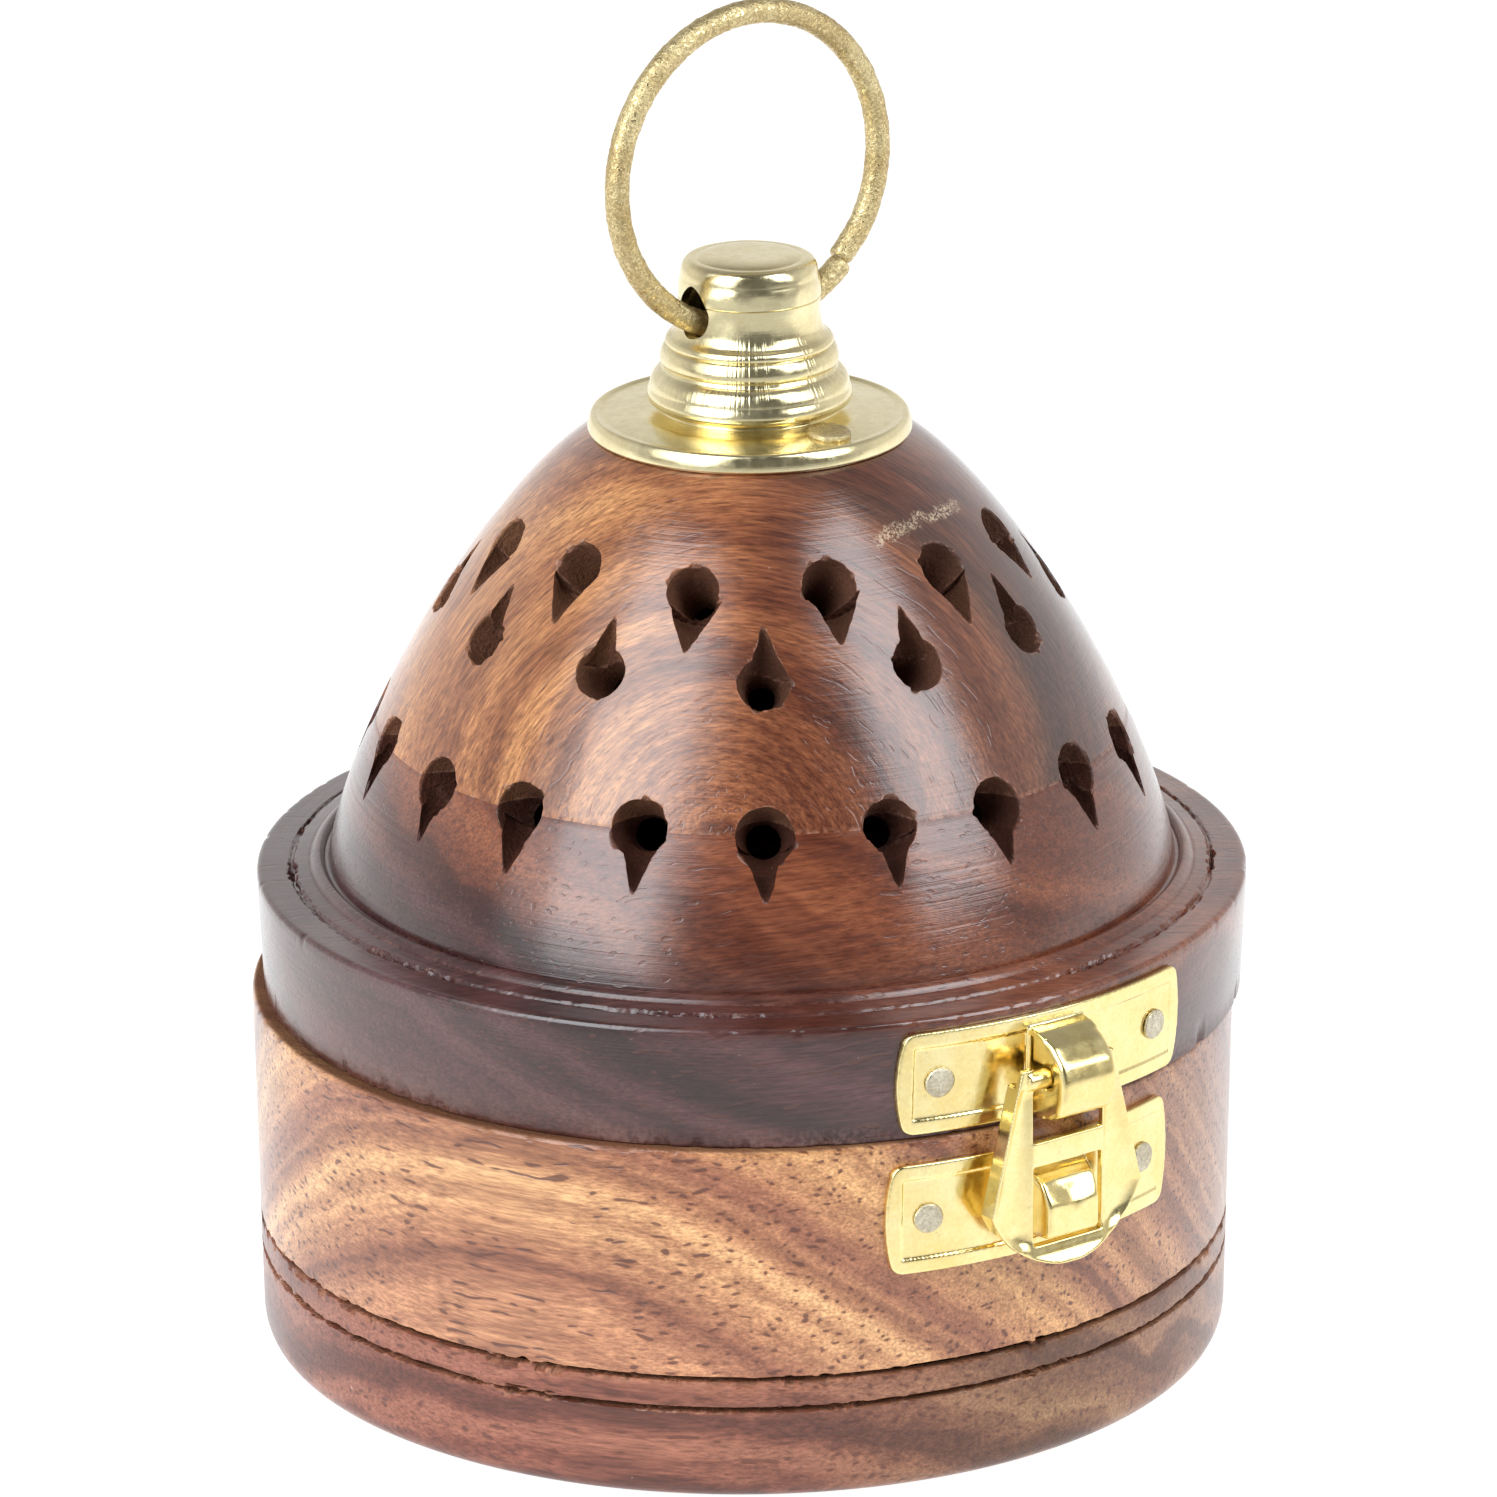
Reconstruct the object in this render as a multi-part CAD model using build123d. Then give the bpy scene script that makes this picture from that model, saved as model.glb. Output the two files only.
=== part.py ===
"""Turned wooden incense burner: a round box with a pierced, domed lid, a brass finial and a ring.

Millimetres. The origin is the centre of the underside and +Z is up. The latch faces -Y, the lid's
hinge is at +Y, and the carrying ring stands in the XZ plane. The lid is hung a little to +X of the
base, so everything on the lid is modelled about its own axis and then moved by LID_SHIFT.
"""

import os
from math import asin, atan, cos, degrees, radians, sin, sqrt

from build123d import *

# ---------------------------------------------------------------- driving dimensions
BODY_R = 50.0  # outer radius of the turned base at its rim
BASE_H = 36.8  # height of the seam between base and lid
SEAM_GAP = 0.15  # the lid's underside stays this far above the base
LID_SHIFT = 1.2  # how far the lid sits to +X of the base
FIT = 0.03  # radial gap of a nail in the hole it was driven through

# Base
BASE_FLARE = 0.5  # the base's side is this much further out at the rim than at the foot
FOOT_R = 48.0  # radius of the flat that the burner stands on
FOOT_ROUND = 1.5
GROOVE_LOW_Z = 9.6
GROOVE_HIGH_Z = 12.8  # the glue line between plinth and wall lies in this groove
GROOVE_DEPTH = 1.0
GROOVE_HALF = 0.35
CAVITY_R = 41.5
FLOOR_Z = 8.0
RIM_ROUND = 0.5

# Lid
LID_BOTTOM = BASE_H + SEAM_GAP
LID_TOP_R = 50.3  # the lid's side leans outwards a little as it rises
LID_BOTTOM_R = 49.8
LEDGE_Z = 49.2
LEDGE_STEP_R = 46.7
DOME_FOOT_R = 43.0
DOME_FOOT_Z = 50.0
DOME_FLAT_R = 15.35
DOME_FLAT_Z = 94.75
GLUE_Z = 64.7  # the dome is turned from two boards glued here
LID_CAVITY_R = 38.5

# Pierced drops: height of the round end, drops in the row, turn of the first one in degrees, radius,
# length from the round end's centre to the tip, whether the tip points up or down, spread of the flanks
DROP_ROWS = (
    {"z": 64.7, "count": 19, "first": -15.4, "radius": 2.8, "length": 6.6, "tip": -1, "flare": 0.34},
    {"z": 78.1, "count": 12, "first": -34.2, "radius": 2.7, "length": 6.3, "tip": 1, "flare": 0.34},
    {"z": 85.5, "count": 12, "first": -19.0, "radius": 2.7, "length": 6.3, "tip": -1, "flare": 0.47},
)
DROP_TILT = 15.0  # degrees that the carving bit leans into the wood from the drop's tip
DRILL_DEPTH = 14.0

# Finial
FLANGE_R = 16.15
FLANGE_TOP_Z = 96.7
FLANGE_VALLEY_R = 14.65
FLANGE_VALLEY_Z = 96.2
BELL_FOOT_R = 9.4
NECK_R = 7.15
NECK_BORE_R = 6.25
FINIAL_TOP_Z = 112.6
SLOT_W = 4.2
SLOT_LOW_Z = 104.85
SLOT_HIGH_Z = 110.2
FINIAL_NAIL_R = 11.95  # distance of the two nails from the finial's axis
FINIAL_NAIL_TURNS = (4.5, 170.0)  # degrees from the front towards +X, not quite opposite

# Carrying ring
RING_R = 16.04
WIRE_R = 1.3
RING_PIVOT_Z = 106.8
RING_CENTRE_Z = RING_PIVOT_Z + 14.4
RING_SPLIT_DEG = -45.0
RING_SPLIT_GAP = 0.2

# Latch: two bent plates with a hood and a stud, and a hasp that swings over the stud
SHEET = 0.7
EMBOSS = 0.2
PLATE_HALF_W = 17.35
PLATE_END_BULGE = 0.8
PLATE_CORNER = 1.3
PLATE_BORDER = 1.5
PLATE_NAIL_X = 13.2
UPPER_PLATE_Z = (37.4, 48.0)
LOWER_PLATE_Z = (23.1, 34.5)
PLATE_Y = 50.95  # distance of the upper plate's front from the lid's axis
HOOD_X = -0.5  # centre of the hood, from the lid's axis
HOOD_HALF_W = 3.3
HOOD_SHEET = 0.6
HASP_X = 0.0
HASP_TOP_HALF = 5.6
HASP_LOW_HALF = 9.2
HASP_LOW_Z = 29.2
HASP_END_Z = 22.9
HASP_SHEET = 0.8
HASP_FRONT = 2.9  # distance of the hasp's front from the upper plate's front
HASP_PIVOT_OUT = 2.45  # distance of the hasp's axis in front of the upper plate
HASP_PIVOT_Z = 42.4
TRUNNION_R = 1.0
TRUNNION_PLAY = 0.08
STUD_X = 0.1
STUD_OUT = 3.9
STUD_BACK_HALF = 3.8
STUD_FRONT_HALF = 2.9

# Lid hinge, let into the seam
HINGE_Y = 51.9
HINGE_Z = BASE_H + SEAM_GAP / 2
KNUCKLE_R = 1.7
HINGE_PIN_R = 0.8
PIN_PLAY = 0.06
HINGE_HALF_W = 10.0
LEAF_SHEET = 0.8
LEAF_INNER_Y = 43.2
LEAF_OUTER_Y = 50.05
KNUCKLE_GAP = 0.12
HINGE_NAIL_X = 6.0
HINGE_NAIL_Y = 46.4

# Ember dish
DISH_R = 37.0
DISH_SHEET = 0.8
DISH_WALL_H = 5.0
DISH_BEAD_R = 9.0
DISH_NAIL_R = 27.0
DISH_NAILS = 3

AXIS_Z = Axis.Z
LID = Pos(LID_SHIFT, 0, 0)


# ---------------------------------------------------------------- helpers
def outline(start, *steps):
    """A closed face in the XZ plane. A step is a point, or (point on the way, end) for an arc."""
    edges = []
    here = start
    for step in steps:
        if isinstance(step[0], tuple):
            edges.append(ThreePointArc(xz(here), xz(step[0]), xz(step[1])))
            here = step[1]
        else:
            edges.append(Line(xz(here), xz(step)))
            here = step
    if here != start:
        edges.append(Line(xz(here), xz(start)))
    return make_face(edges)


def xz(point):
    return (point[0], 0, point[1])


def turned(face):
    """A face of the XZ plane turned round the Z axis."""
    return revolve(face, AXIS_Z, 360)


def slab(x0, x1, y0, y1, z0, z1):
    """A box given by its faces."""
    return Pos((x0 + x1) / 2, (y0 + y1) / 2, (z0 + z1) / 2) * Box(x1 - x0, y1 - y0, z1 - z0)


def rod(radius, z0, z1):
    """A cylinder on the Z axis between two heights."""
    return Pos(0, 0, (z0 + z1) / 2) * Cylinder(radius, z1 - z0)


def nail(head_r, head_h, shank_r, length):
    """A nail with its head standing on the XY plane and its shank going down."""
    head = rod(head_r, 0, head_h)
    head = fillet(head.edges().sort_by(AXIS_Z)[-1:], head_h * 0.6)
    return head + rod(shank_r, -length, 0)


def front_nail_places(height, wall):
    """Places on a bent plate where its two nails stand, square to the plate and pointing outwards."""
    radius = wall(height) + SHEET - EMBOSS
    turn = degrees(asin(PLATE_NAIL_X / radius))
    lean = degrees(atan(wall(height + 1) - wall(height)))
    return [
        Rot(0, 0, side * turn) * Pos(0, -radius, height) * Rot(90 + lean, 0, 0) for side in (-1, 1)
    ]


def export(name, shape):
    export_step(shape, f"parts/{name}.step")


# ---------------------------------------------------------------- base
def wall_radius(height):
    """Outer radius of the base, which widens slightly towards its rim."""
    return BODY_R - BASE_FLARE * (BASE_H - height) / BASE_H


def groove(height):
    """A narrow turned groove, to be cut from the base."""
    radius = wall_radius(height)
    return turned(
        outline(
            (radius - GROOVE_DEPTH, height),
            (radius + 0.5, height - GROOVE_HALF - 0.15),
            (radius + 0.5, height + GROOVE_HALF + 0.15),
        )
    )


def base_blank():
    """The turned base with its cavity, before it is divided at the glue line."""
    side_foot = wall_radius(FOOT_ROUND * 2)
    blank = turned(
        outline(
            (0, 0),
            (FOOT_R, 0),
            ((side_foot - 0.35, FOOT_ROUND * 0.55), (side_foot, FOOT_ROUND * 2)),
            (wall_radius(BASE_H - RIM_ROUND), BASE_H - RIM_ROUND),
            ((BODY_R - 0.15, BASE_H - 0.15), (BODY_R - RIM_ROUND, BASE_H)),
            (CAVITY_R, BASE_H),
            (CAVITY_R, FLOOR_Z),
            (0, FLOOR_Z),
        )
    )
    return blank - groove(GROOVE_LOW_Z) - groove(GROOVE_HIGH_Z)


def ember_dish():
    """A spun dish on the cavity's floor, with a raised bead that keeps a cone in the middle."""
    low = FLOOR_Z
    inner = DISH_R - DISH_SHEET
    return turned(
        outline(
            (0, low),
            (DISH_R - 1.5, low),
            ((DISH_R - 0.44, low + 0.44), (DISH_R, low + 1.5)),
            (DISH_R, low + DISH_WALL_H),
            ((DISH_R - DISH_SHEET / 2, low + DISH_WALL_H + 0.4), (inner, low + DISH_WALL_H)),
            (inner, low + 1.9),
            ((inner - 0.32, low + 1.12), (inner - 1.1, low + DISH_SHEET)),
            (DISH_BEAD_R + 1.2, low + DISH_SHEET),
            ((DISH_BEAD_R, low + DISH_SHEET + 1.2), (DISH_BEAD_R - 1.2, low + DISH_SHEET)),
            (0, low + DISH_SHEET),
        )
    )


def dish_nail_places():
    place = Pos(DISH_NAIL_R, 0, FLOOR_Z + DISH_SHEET)
    return [Rot(0, 0, 360 / DISH_NAILS * i) * place for i in range(DISH_NAILS)]


# ---------------------------------------------------------------- lid
def dome_edge():
    """The dome's outer line, from its foot to the flat that carries the finial."""
    return Bezier(
        xz((DOME_FOOT_R, DOME_FOOT_Z)),
        xz((DOME_FOOT_R - 2.6, DOME_FOOT_Z + 14.6)),
        xz((DOME_FLAT_R + 9.3, DOME_FLAT_Z - 4.3)),
        xz((DOME_FLAT_R, DOME_FLAT_Z)),
    )


def lid_side(height):
    """Outer radius of the lid's rim at a height."""
    rise = LEDGE_Z - RIM_ROUND - LID_BOTTOM
    return LID_BOTTOM_R + (LID_TOP_R - LID_BOTTOM_R) * (height - LID_BOTTOM) / rise


def lid_blank():
    """The turned lid: rim, stepped ledge, bead and dome, hollowed from below."""
    side = [
        Line(xz((LID_CAVITY_R, LID_BOTTOM)), xz((LID_BOTTOM_R, LID_BOTTOM))),
        Line(xz((LID_BOTTOM_R, LID_BOTTOM)), xz((LID_TOP_R, LEDGE_Z - RIM_ROUND))),
        ThreePointArc(
            xz((LID_TOP_R, LEDGE_Z - RIM_ROUND)),
            xz((LID_TOP_R - 0.15, LEDGE_Z - 0.15)),
            xz((LID_TOP_R - RIM_ROUND, LEDGE_Z)),
        ),
    ]
    ledge = [
        (LID_TOP_R - RIM_ROUND, LEDGE_Z),
        (LEDGE_STEP_R + 0.25, LEDGE_Z + 0.1),
        (LEDGE_STEP_R, LEDGE_Z - 0.35),
        (LEDGE_STEP_R - 0.25, LEDGE_Z + 0.25),
        (DOME_FOOT_R + 1.9, LEDGE_Z + 0.55),
    ]
    steps = [Line(xz(a), xz(b)) for a, b in zip(ledge, ledge[1:])]
    bead_end = (DOME_FOOT_R + 0.35, LEDGE_Z + 0.75)
    bead = [
        ThreePointArc(xz(ledge[-1]), xz((DOME_FOOT_R + 1.05, LEDGE_Z + 1.25)), xz(bead_end)),
        Line(xz(bead_end), xz((DOME_FOOT_R, DOME_FOOT_Z))),
    ]
    cavity_shoulder = (LID_CAVITY_R, DOME_FOOT_Z - 3)
    cavity_top = (0, DOME_FLAT_Z - 7.5)
    hollow = [
        Line(xz((DOME_FLAT_R, DOME_FLAT_Z)), xz((0, DOME_FLAT_Z))),
        Line(xz((0, DOME_FLAT_Z)), xz(cavity_top)),
        Bezier(
            xz(cavity_top),
            xz((DOME_FLAT_R + 4, DOME_FLAT_Z - 7.5)),
            xz((LID_CAVITY_R - 2, DOME_FOOT_Z + 15.0)),
            xz(cavity_shoulder),
        ),
        Line(xz(cavity_shoulder), xz((LID_CAVITY_R, LID_BOTTOM))),
    ]
    return turned(make_face([*side, *steps, *bead, dome_edge(), *hollow]))


def surface_point(height):
    """Radius of the dome at a height, and its outward normal there as (radial, vertical)."""
    edge = dome_edge()
    low, high = 0.0, 1.0
    while high - low > 1e-6:
        middle = (low + high) / 2
        if (edge @ middle).Z < height:
            low = middle
        else:
            high = middle
    along = edge % low
    return (edge @ low).X, (along.Z, -along.X)


def drop_cutters(row):
    """For one drop at the front: a hole drilled square to the dome, and the cone of its pointed end."""
    radius, (out, up) = surface_point(row["z"])
    normal = Vector(0, -out, up).normalized()
    tip = Vector(0, up, out).normalized() * row["tip"]
    middle = Vector(0, -radius, row["z"])
    mouth = Plane(origin=middle + normal * 4, z_dir=-normal, x_dir=tip)
    drill = mouth * rod(row["radius"], 0, DRILL_DEPTH)
    lean = radians(DROP_TILT)
    reach = row["length"] / cos(lean)
    end_r = reach * sqrt(row["flare"] ** 2 + sin(lean) ** 2) / cos(lean)
    axis = (-tip * cos(lean) - normal * sin(lean)).normalized()
    point = middle + tip * row["length"]
    carve = Plane(origin=point, z_dir=axis, x_dir=Vector(1, 0, 0)) * (
        Pos(0, 0, reach / 2) * Cone(0, end_r, reach)
    )
    return drill, carve


def pierce(lid):
    """Cuts the three rows of drops."""
    for row in DROP_ROWS:
        drill, carve = drop_cutters(row)
        for i in range(row["count"]):
            turn = Rot(0, 0, row["first"] + 360 / row["count"] * i)
            lid = lid - (turn * drill) - (turn * carve)
    return lid


# ---------------------------------------------------------------- finial and ring
def finial_blank():
    """The spun brass cap, hollow inside: flange with a turned-down lip, bell, beads, neck and crown."""
    outer = outline(
        (0, DOME_FLAT_Z),
        (DOME_FLAT_R - 0.05, DOME_FLAT_Z),
        (FLANGE_R - 0.15, DOME_FLAT_Z - 0.22),
        ((FLANGE_R, DOME_FLAT_Z), (FLANGE_R, DOME_FLAT_Z + 0.4)),
        ((FLANGE_R - 0.35, FLANGE_TOP_Z - 0.45), (FLANGE_R - 1.0, FLANGE_TOP_Z - 0.35)),
        (FLANGE_VALLEY_R, FLANGE_VALLEY_Z),
        (BELL_FOOT_R, FLANGE_TOP_Z),
        ((10.0, FLANGE_TOP_Z + 2.4), (8.7, 101.2)),
        ((8.9, 102.4), (8.25, 103.5)),
        ((8.3, 104.2), (7.4, 104.7)),
        ((NECK_R, 106.2), (NECK_R, 108.4)),
        ((6.75, 110.9), (5.4, 112.2)),
        (5.0, FINIAL_TOP_Z),
        (0, FINIAL_TOP_Z),
    )
    bore = outline(
        (0, DOME_FLAT_Z - 1),
        (8.0, DOME_FLAT_Z - 1),
        (8.0, FLANGE_TOP_Z),
        ((8.7, FLANGE_TOP_Z + 2.0), (7.7, 101.2)),
        (7.2, 103.4),
        (NECK_BORE_R, 104.6),
        (NECK_BORE_R, 108.6),
        ((5.7, 110.6), (4.4, 111.6)),
        (0, 111.6),
    )
    return turned(outer) - turned(bore)


def ring_slot():
    """The slot that the ring passes through, cut from one side of the neck to the other."""
    height = SLOT_HIGH_Z - SLOT_LOW_Z
    face = SlotOverall(height, SLOT_W)
    slot = extrude(face, amount=NECK_R * 3)
    return Pos(-NECK_R * 1.5, 0, (SLOT_LOW_Z + SLOT_HIGH_Z) / 2) * Rot(0, 90, 0) * slot


def finial_nail_places():
    """Places of the two nails on the flange's slope, near the front and the back."""
    slope = (FLANGE_TOP_Z - FLANGE_VALLEY_Z) / (FLANGE_VALLEY_R - BELL_FOOT_R)
    height = FLANGE_VALLEY_Z + (FLANGE_VALLEY_R - FINIAL_NAIL_R) * slope
    lean = degrees(atan(slope))
    return [
        Rot(0, 0, turn) * Pos(0, -FINIAL_NAIL_R, height) * Rot(lean, 0, 0)
        for turn in FINIAL_NAIL_TURNS
    ]


def carrying_ring():
    """A bent wire ring whose ends nearly meet."""
    half_gap = degrees(RING_SPLIT_GAP / RING_R / 2)
    wire = Pos(RING_R, 0, 0) * Rot(90, 0, 0) * Circle(WIRE_R)
    ring = revolve(wire, AXIS_Z, 360 - 2 * half_gap)
    return Pos(0, 0, RING_CENTRE_Z) * Rot(90, 0, 0) * Rot(0, 0, RING_SPLIT_DEG + half_gap) * ring


# ---------------------------------------------------------------- latch
def plate_mask(z0, z1):
    """The plate's outline seen from the front, with rounded corners and bulged ends."""
    half = PLATE_HALF_W - PLATE_END_BULGE
    face = outline(
        (-half, z0),
        (half, z0),
        ((PLATE_HALF_W, (z0 + z1) / 2), (half, z1)),
        (-half, z1),
        ((-PLATE_HALF_W, (z0 + z1) / 2), (-half, z0)),
    )
    mask = extrude(face, amount=PLATE_Y + 10, dir=(0, -1, 0))
    corners = mask.edges().filter_by(Axis.Y)
    return fillet(corners, PLATE_CORNER)


def shell(z0, z1, low_r, high_r, depth):
    """A thin turned shell between two heights, its inner face at the given radii."""
    return turned(outline((low_r, z0), (low_r + depth, z0), (high_r + depth, z1), (high_r, z1)))


def bent_plate(heights, wall):
    """A sheet bent round the body at the front, its panel pressed back a little inside the border."""
    z0, z1 = heights
    plate = shell(z0, z1, wall(z0), wall(z1), SHEET) & plate_mask(z0, z1)
    p0, p1 = z0 + PLATE_BORDER, z1 - PLATE_BORDER
    panel = shell(p0, p1, wall(p0) + SHEET - EMBOSS, wall(p1) + SHEET - EMBOSS, 1)
    edge = PLATE_HALF_W - PLATE_BORDER
    return plate - (panel & slab(-edge, edge, -PLATE_Y - 2, 0, p0, p1))


def side_profile(points, half_width):
    """A prism along X whose section is given as (distance out from the upper plate, height)."""
    face = make_face(Polyline([(0, -PLATE_Y - out, z) for out, z in points], close=True))
    return extrude(face, amount=half_width, dir=(1, 0, 0), both=True)


def hood():
    """The pressed hood that holds the hasp's trunnions, with an open notch in each ear."""
    outer = side_profile(
        [
            (-1.0, 37.9), (3.2, 37.9), (4.7, 38.8), (5.5, 40.4), (5.6, 42.4),
            (5.0, 44.2), (3.4, 45.7), (1.4, 46.6), (-1.0, 46.9),
        ],
        HOOD_HALF_W,
    )
    inner = side_profile(
        [
            (0, 38.5), (3.0, 38.5), (4.3, 39.3), (4.9, 40.6), (5.0, 42.3),
            (4.4, 43.9), (3.1, 45.1), (1.2, 46.0), (0, 46.1),
        ],
        HOOD_HALF_W - HOOD_SHEET,
    )
    hole_r = TRUNNION_R + TRUNNION_PLAY
    axis_y = -PLATE_Y - HASP_PIVOT_OUT
    ears = 1.5 * HOOD_HALF_W
    bore = Pos(0, axis_y, HASP_PIVOT_Z) * Rot(0, 90, 0) * Cylinder(hole_r, 2 * ears)
    notch = slab(-ears, ears, axis_y, -PLATE_Y, HASP_PIVOT_Z - hole_r, HASP_PIVOT_Z + hole_r)
    slit = slab(-ears, ears, -PLATE_Y - 0.45, -PLATE_Y, HASP_PIVOT_Z, 46.0)
    return Pos(HOOD_X, 0, 0) * (outer - inner - bore - notch - slit)


def hasp_outline(inset):
    """The hasp's front outline: slanted arms and a round end, drawn in by an inset."""
    top_half = HASP_TOP_HALF - inset
    low_half = HASP_LOW_HALF - inset
    top_z = HASP_PIVOT_Z + 1.3 - inset
    end_z = HASP_END_Z + inset
    return outline(
        (-top_half, top_z),
        (-low_half, HASP_LOW_Z),
        ((0, end_z), (low_half, HASP_LOW_Z)),
        (top_half, top_z),
    )


def hasp():
    """The swinging loop: a flat frame with turned-back edges, inward trunnions and a flared lip."""
    lip_z = 25.2
    front_y = -PLATE_Y - HASP_FRONT
    back = HASP_FRONT - HASP_SHEET
    ahead = PLATE_Y + 12
    wide = 2 * HASP_LOW_HALF
    plan = extrude(hasp_outline(0), amount=ahead, dir=(0, -1, 0))
    core = extrude(hasp_outline(0.7), amount=ahead, dir=(0, -1, 0))
    frame = plan & slab(-wide, wide, front_y, front_y + HASP_SHEET, lip_z - 0.01, 50)
    flange = (plan - core) & slab(-wide, wide, front_y, -PLATE_Y - 0.9, 27.0, 42.0)
    lip = side_profile(
        [
            (back, lip_z + 0.6), (HASP_FRONT, lip_z + 0.6), (HASP_FRONT + 0.35, 24.3),
            (HASP_FRONT + 1.1, 22.8), (HASP_FRONT + 0.7, 22.2), (HASP_FRONT - 0.4, 23.9), (back, lip_z),
        ],
        wide,
    )
    loop = frame + flange + (lip & plan)

    # The open top between the arms, and the window for the stud
    loop = loop - slab(-4.3, 4.3, -PLATE_Y - 4, -PLATE_Y + 1, 35.9, 50)
    loop = loop - slab(-4.2, 4.2, -PLATE_Y - 4, -PLATE_Y + 1, lip_z, 33.4)

    # Trunnions, each from inside its arm to just inside its ear
    hood_x = LID_SHIFT + HOOD_X - HASP_X
    for side in (-1, 1):
        inner_x = hood_x + side * (HOOD_HALF_W - HOOD_SHEET - 0.5)
        outer_x = side * 5.0
        stub = Rot(0, 90, 0) * Cylinder(TRUNNION_R, abs(outer_x - inner_x))
        loop = loop + Pos((inner_x + outer_x) / 2, -PLATE_Y - HASP_PIVOT_OUT, HASP_PIVOT_Z) * stub
    return Pos(HASP_X, 0, 0) * loop


def stud():
    """The hollow-pressed stud on the catch plate, with sloping flanks and a steeper facet at the top."""
    back = -2 * SHEET
    face_y = 0.3 - PLATE_Y
    section = side_profile(
        [
            (back, 25.6), (STUD_OUT - 0.4, 25.8), (STUD_OUT, 26.2), (STUD_OUT, 29.2),
            (STUD_OUT - 0.9, 31.4), (0.6, 32.8), (back, 32.9),
        ],
        STUD_BACK_HALF,
    )
    flank = [(STUD_BACK_HALF, face_y + 2), (STUD_BACK_HALF, face_y), (STUD_FRONT_HALF, face_y - 5)]
    corners = [(-x, y, 29) for x, y in flank] + [(x, y, 29) for x, y in reversed(flank)]
    taper = extrude(make_face(Polyline(corners, close=True)), amount=6, dir=(0, 0, 1), both=True)
    return section & taper


# ---------------------------------------------------------------- lid hinge
def knuckle_spans():
    """The five knuckles along X, as (start, end); the first belongs to the base."""
    width = 2 * HINGE_HALF_W / 5
    return [
        (-HINGE_HALF_W + width * i + KNUCKLE_GAP / 2, -HINGE_HALF_W + width * (i + 1) - KNUCKLE_GAP / 2)
        for i in range(5)
    ]


def along_x(radius, x0, x1):
    """A cylinder on the hinge's axis."""
    return Pos((x0 + x1) / 2, HINGE_Y, HINGE_Z) * Rot(0, 90, 0) * Cylinder(radius, x1 - x0)


def hinge_leaf(z0, spans):
    """One leaf: a flat plate let into the wood, tabs and rolled knuckles."""
    z1 = z0 + LEAF_SHEET
    leaf = slab(-HINGE_HALF_W, HINGE_HALF_W, LEAF_INNER_Y, LEAF_OUTER_Y, z0, z1)
    for x0, x1 in spans:
        leaf = leaf + slab(x0, x1, LEAF_OUTER_Y, HINGE_Y, z0, z1) + along_x(KNUCKLE_R, x0, x1)
    return leaf - along_x(HINGE_PIN_R + PIN_PLAY, -2 * HINGE_HALF_W, 2 * HINGE_HALF_W)


def mortise(z0, z1):
    """The pocket for a leaf, open to the back of the body."""
    gap = 0.1
    return slab(-HINGE_HALF_W - gap, HINGE_HALF_W + gap, LEAF_INNER_Y - gap, HINGE_Y + 5, z0, z1)


def leaf_nail_spots():
    return [(side * HINGE_NAIL_X, HINGE_NAIL_Y) for side in (-1, 1)]


def leaf_nail():
    """A nail whose head fills the leaf's hole flush, pointing down from the leaf's top face."""
    return rod(1.25, -LEAF_SHEET, 0) + rod(0.6, -7.5, -LEAF_SHEET)


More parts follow.
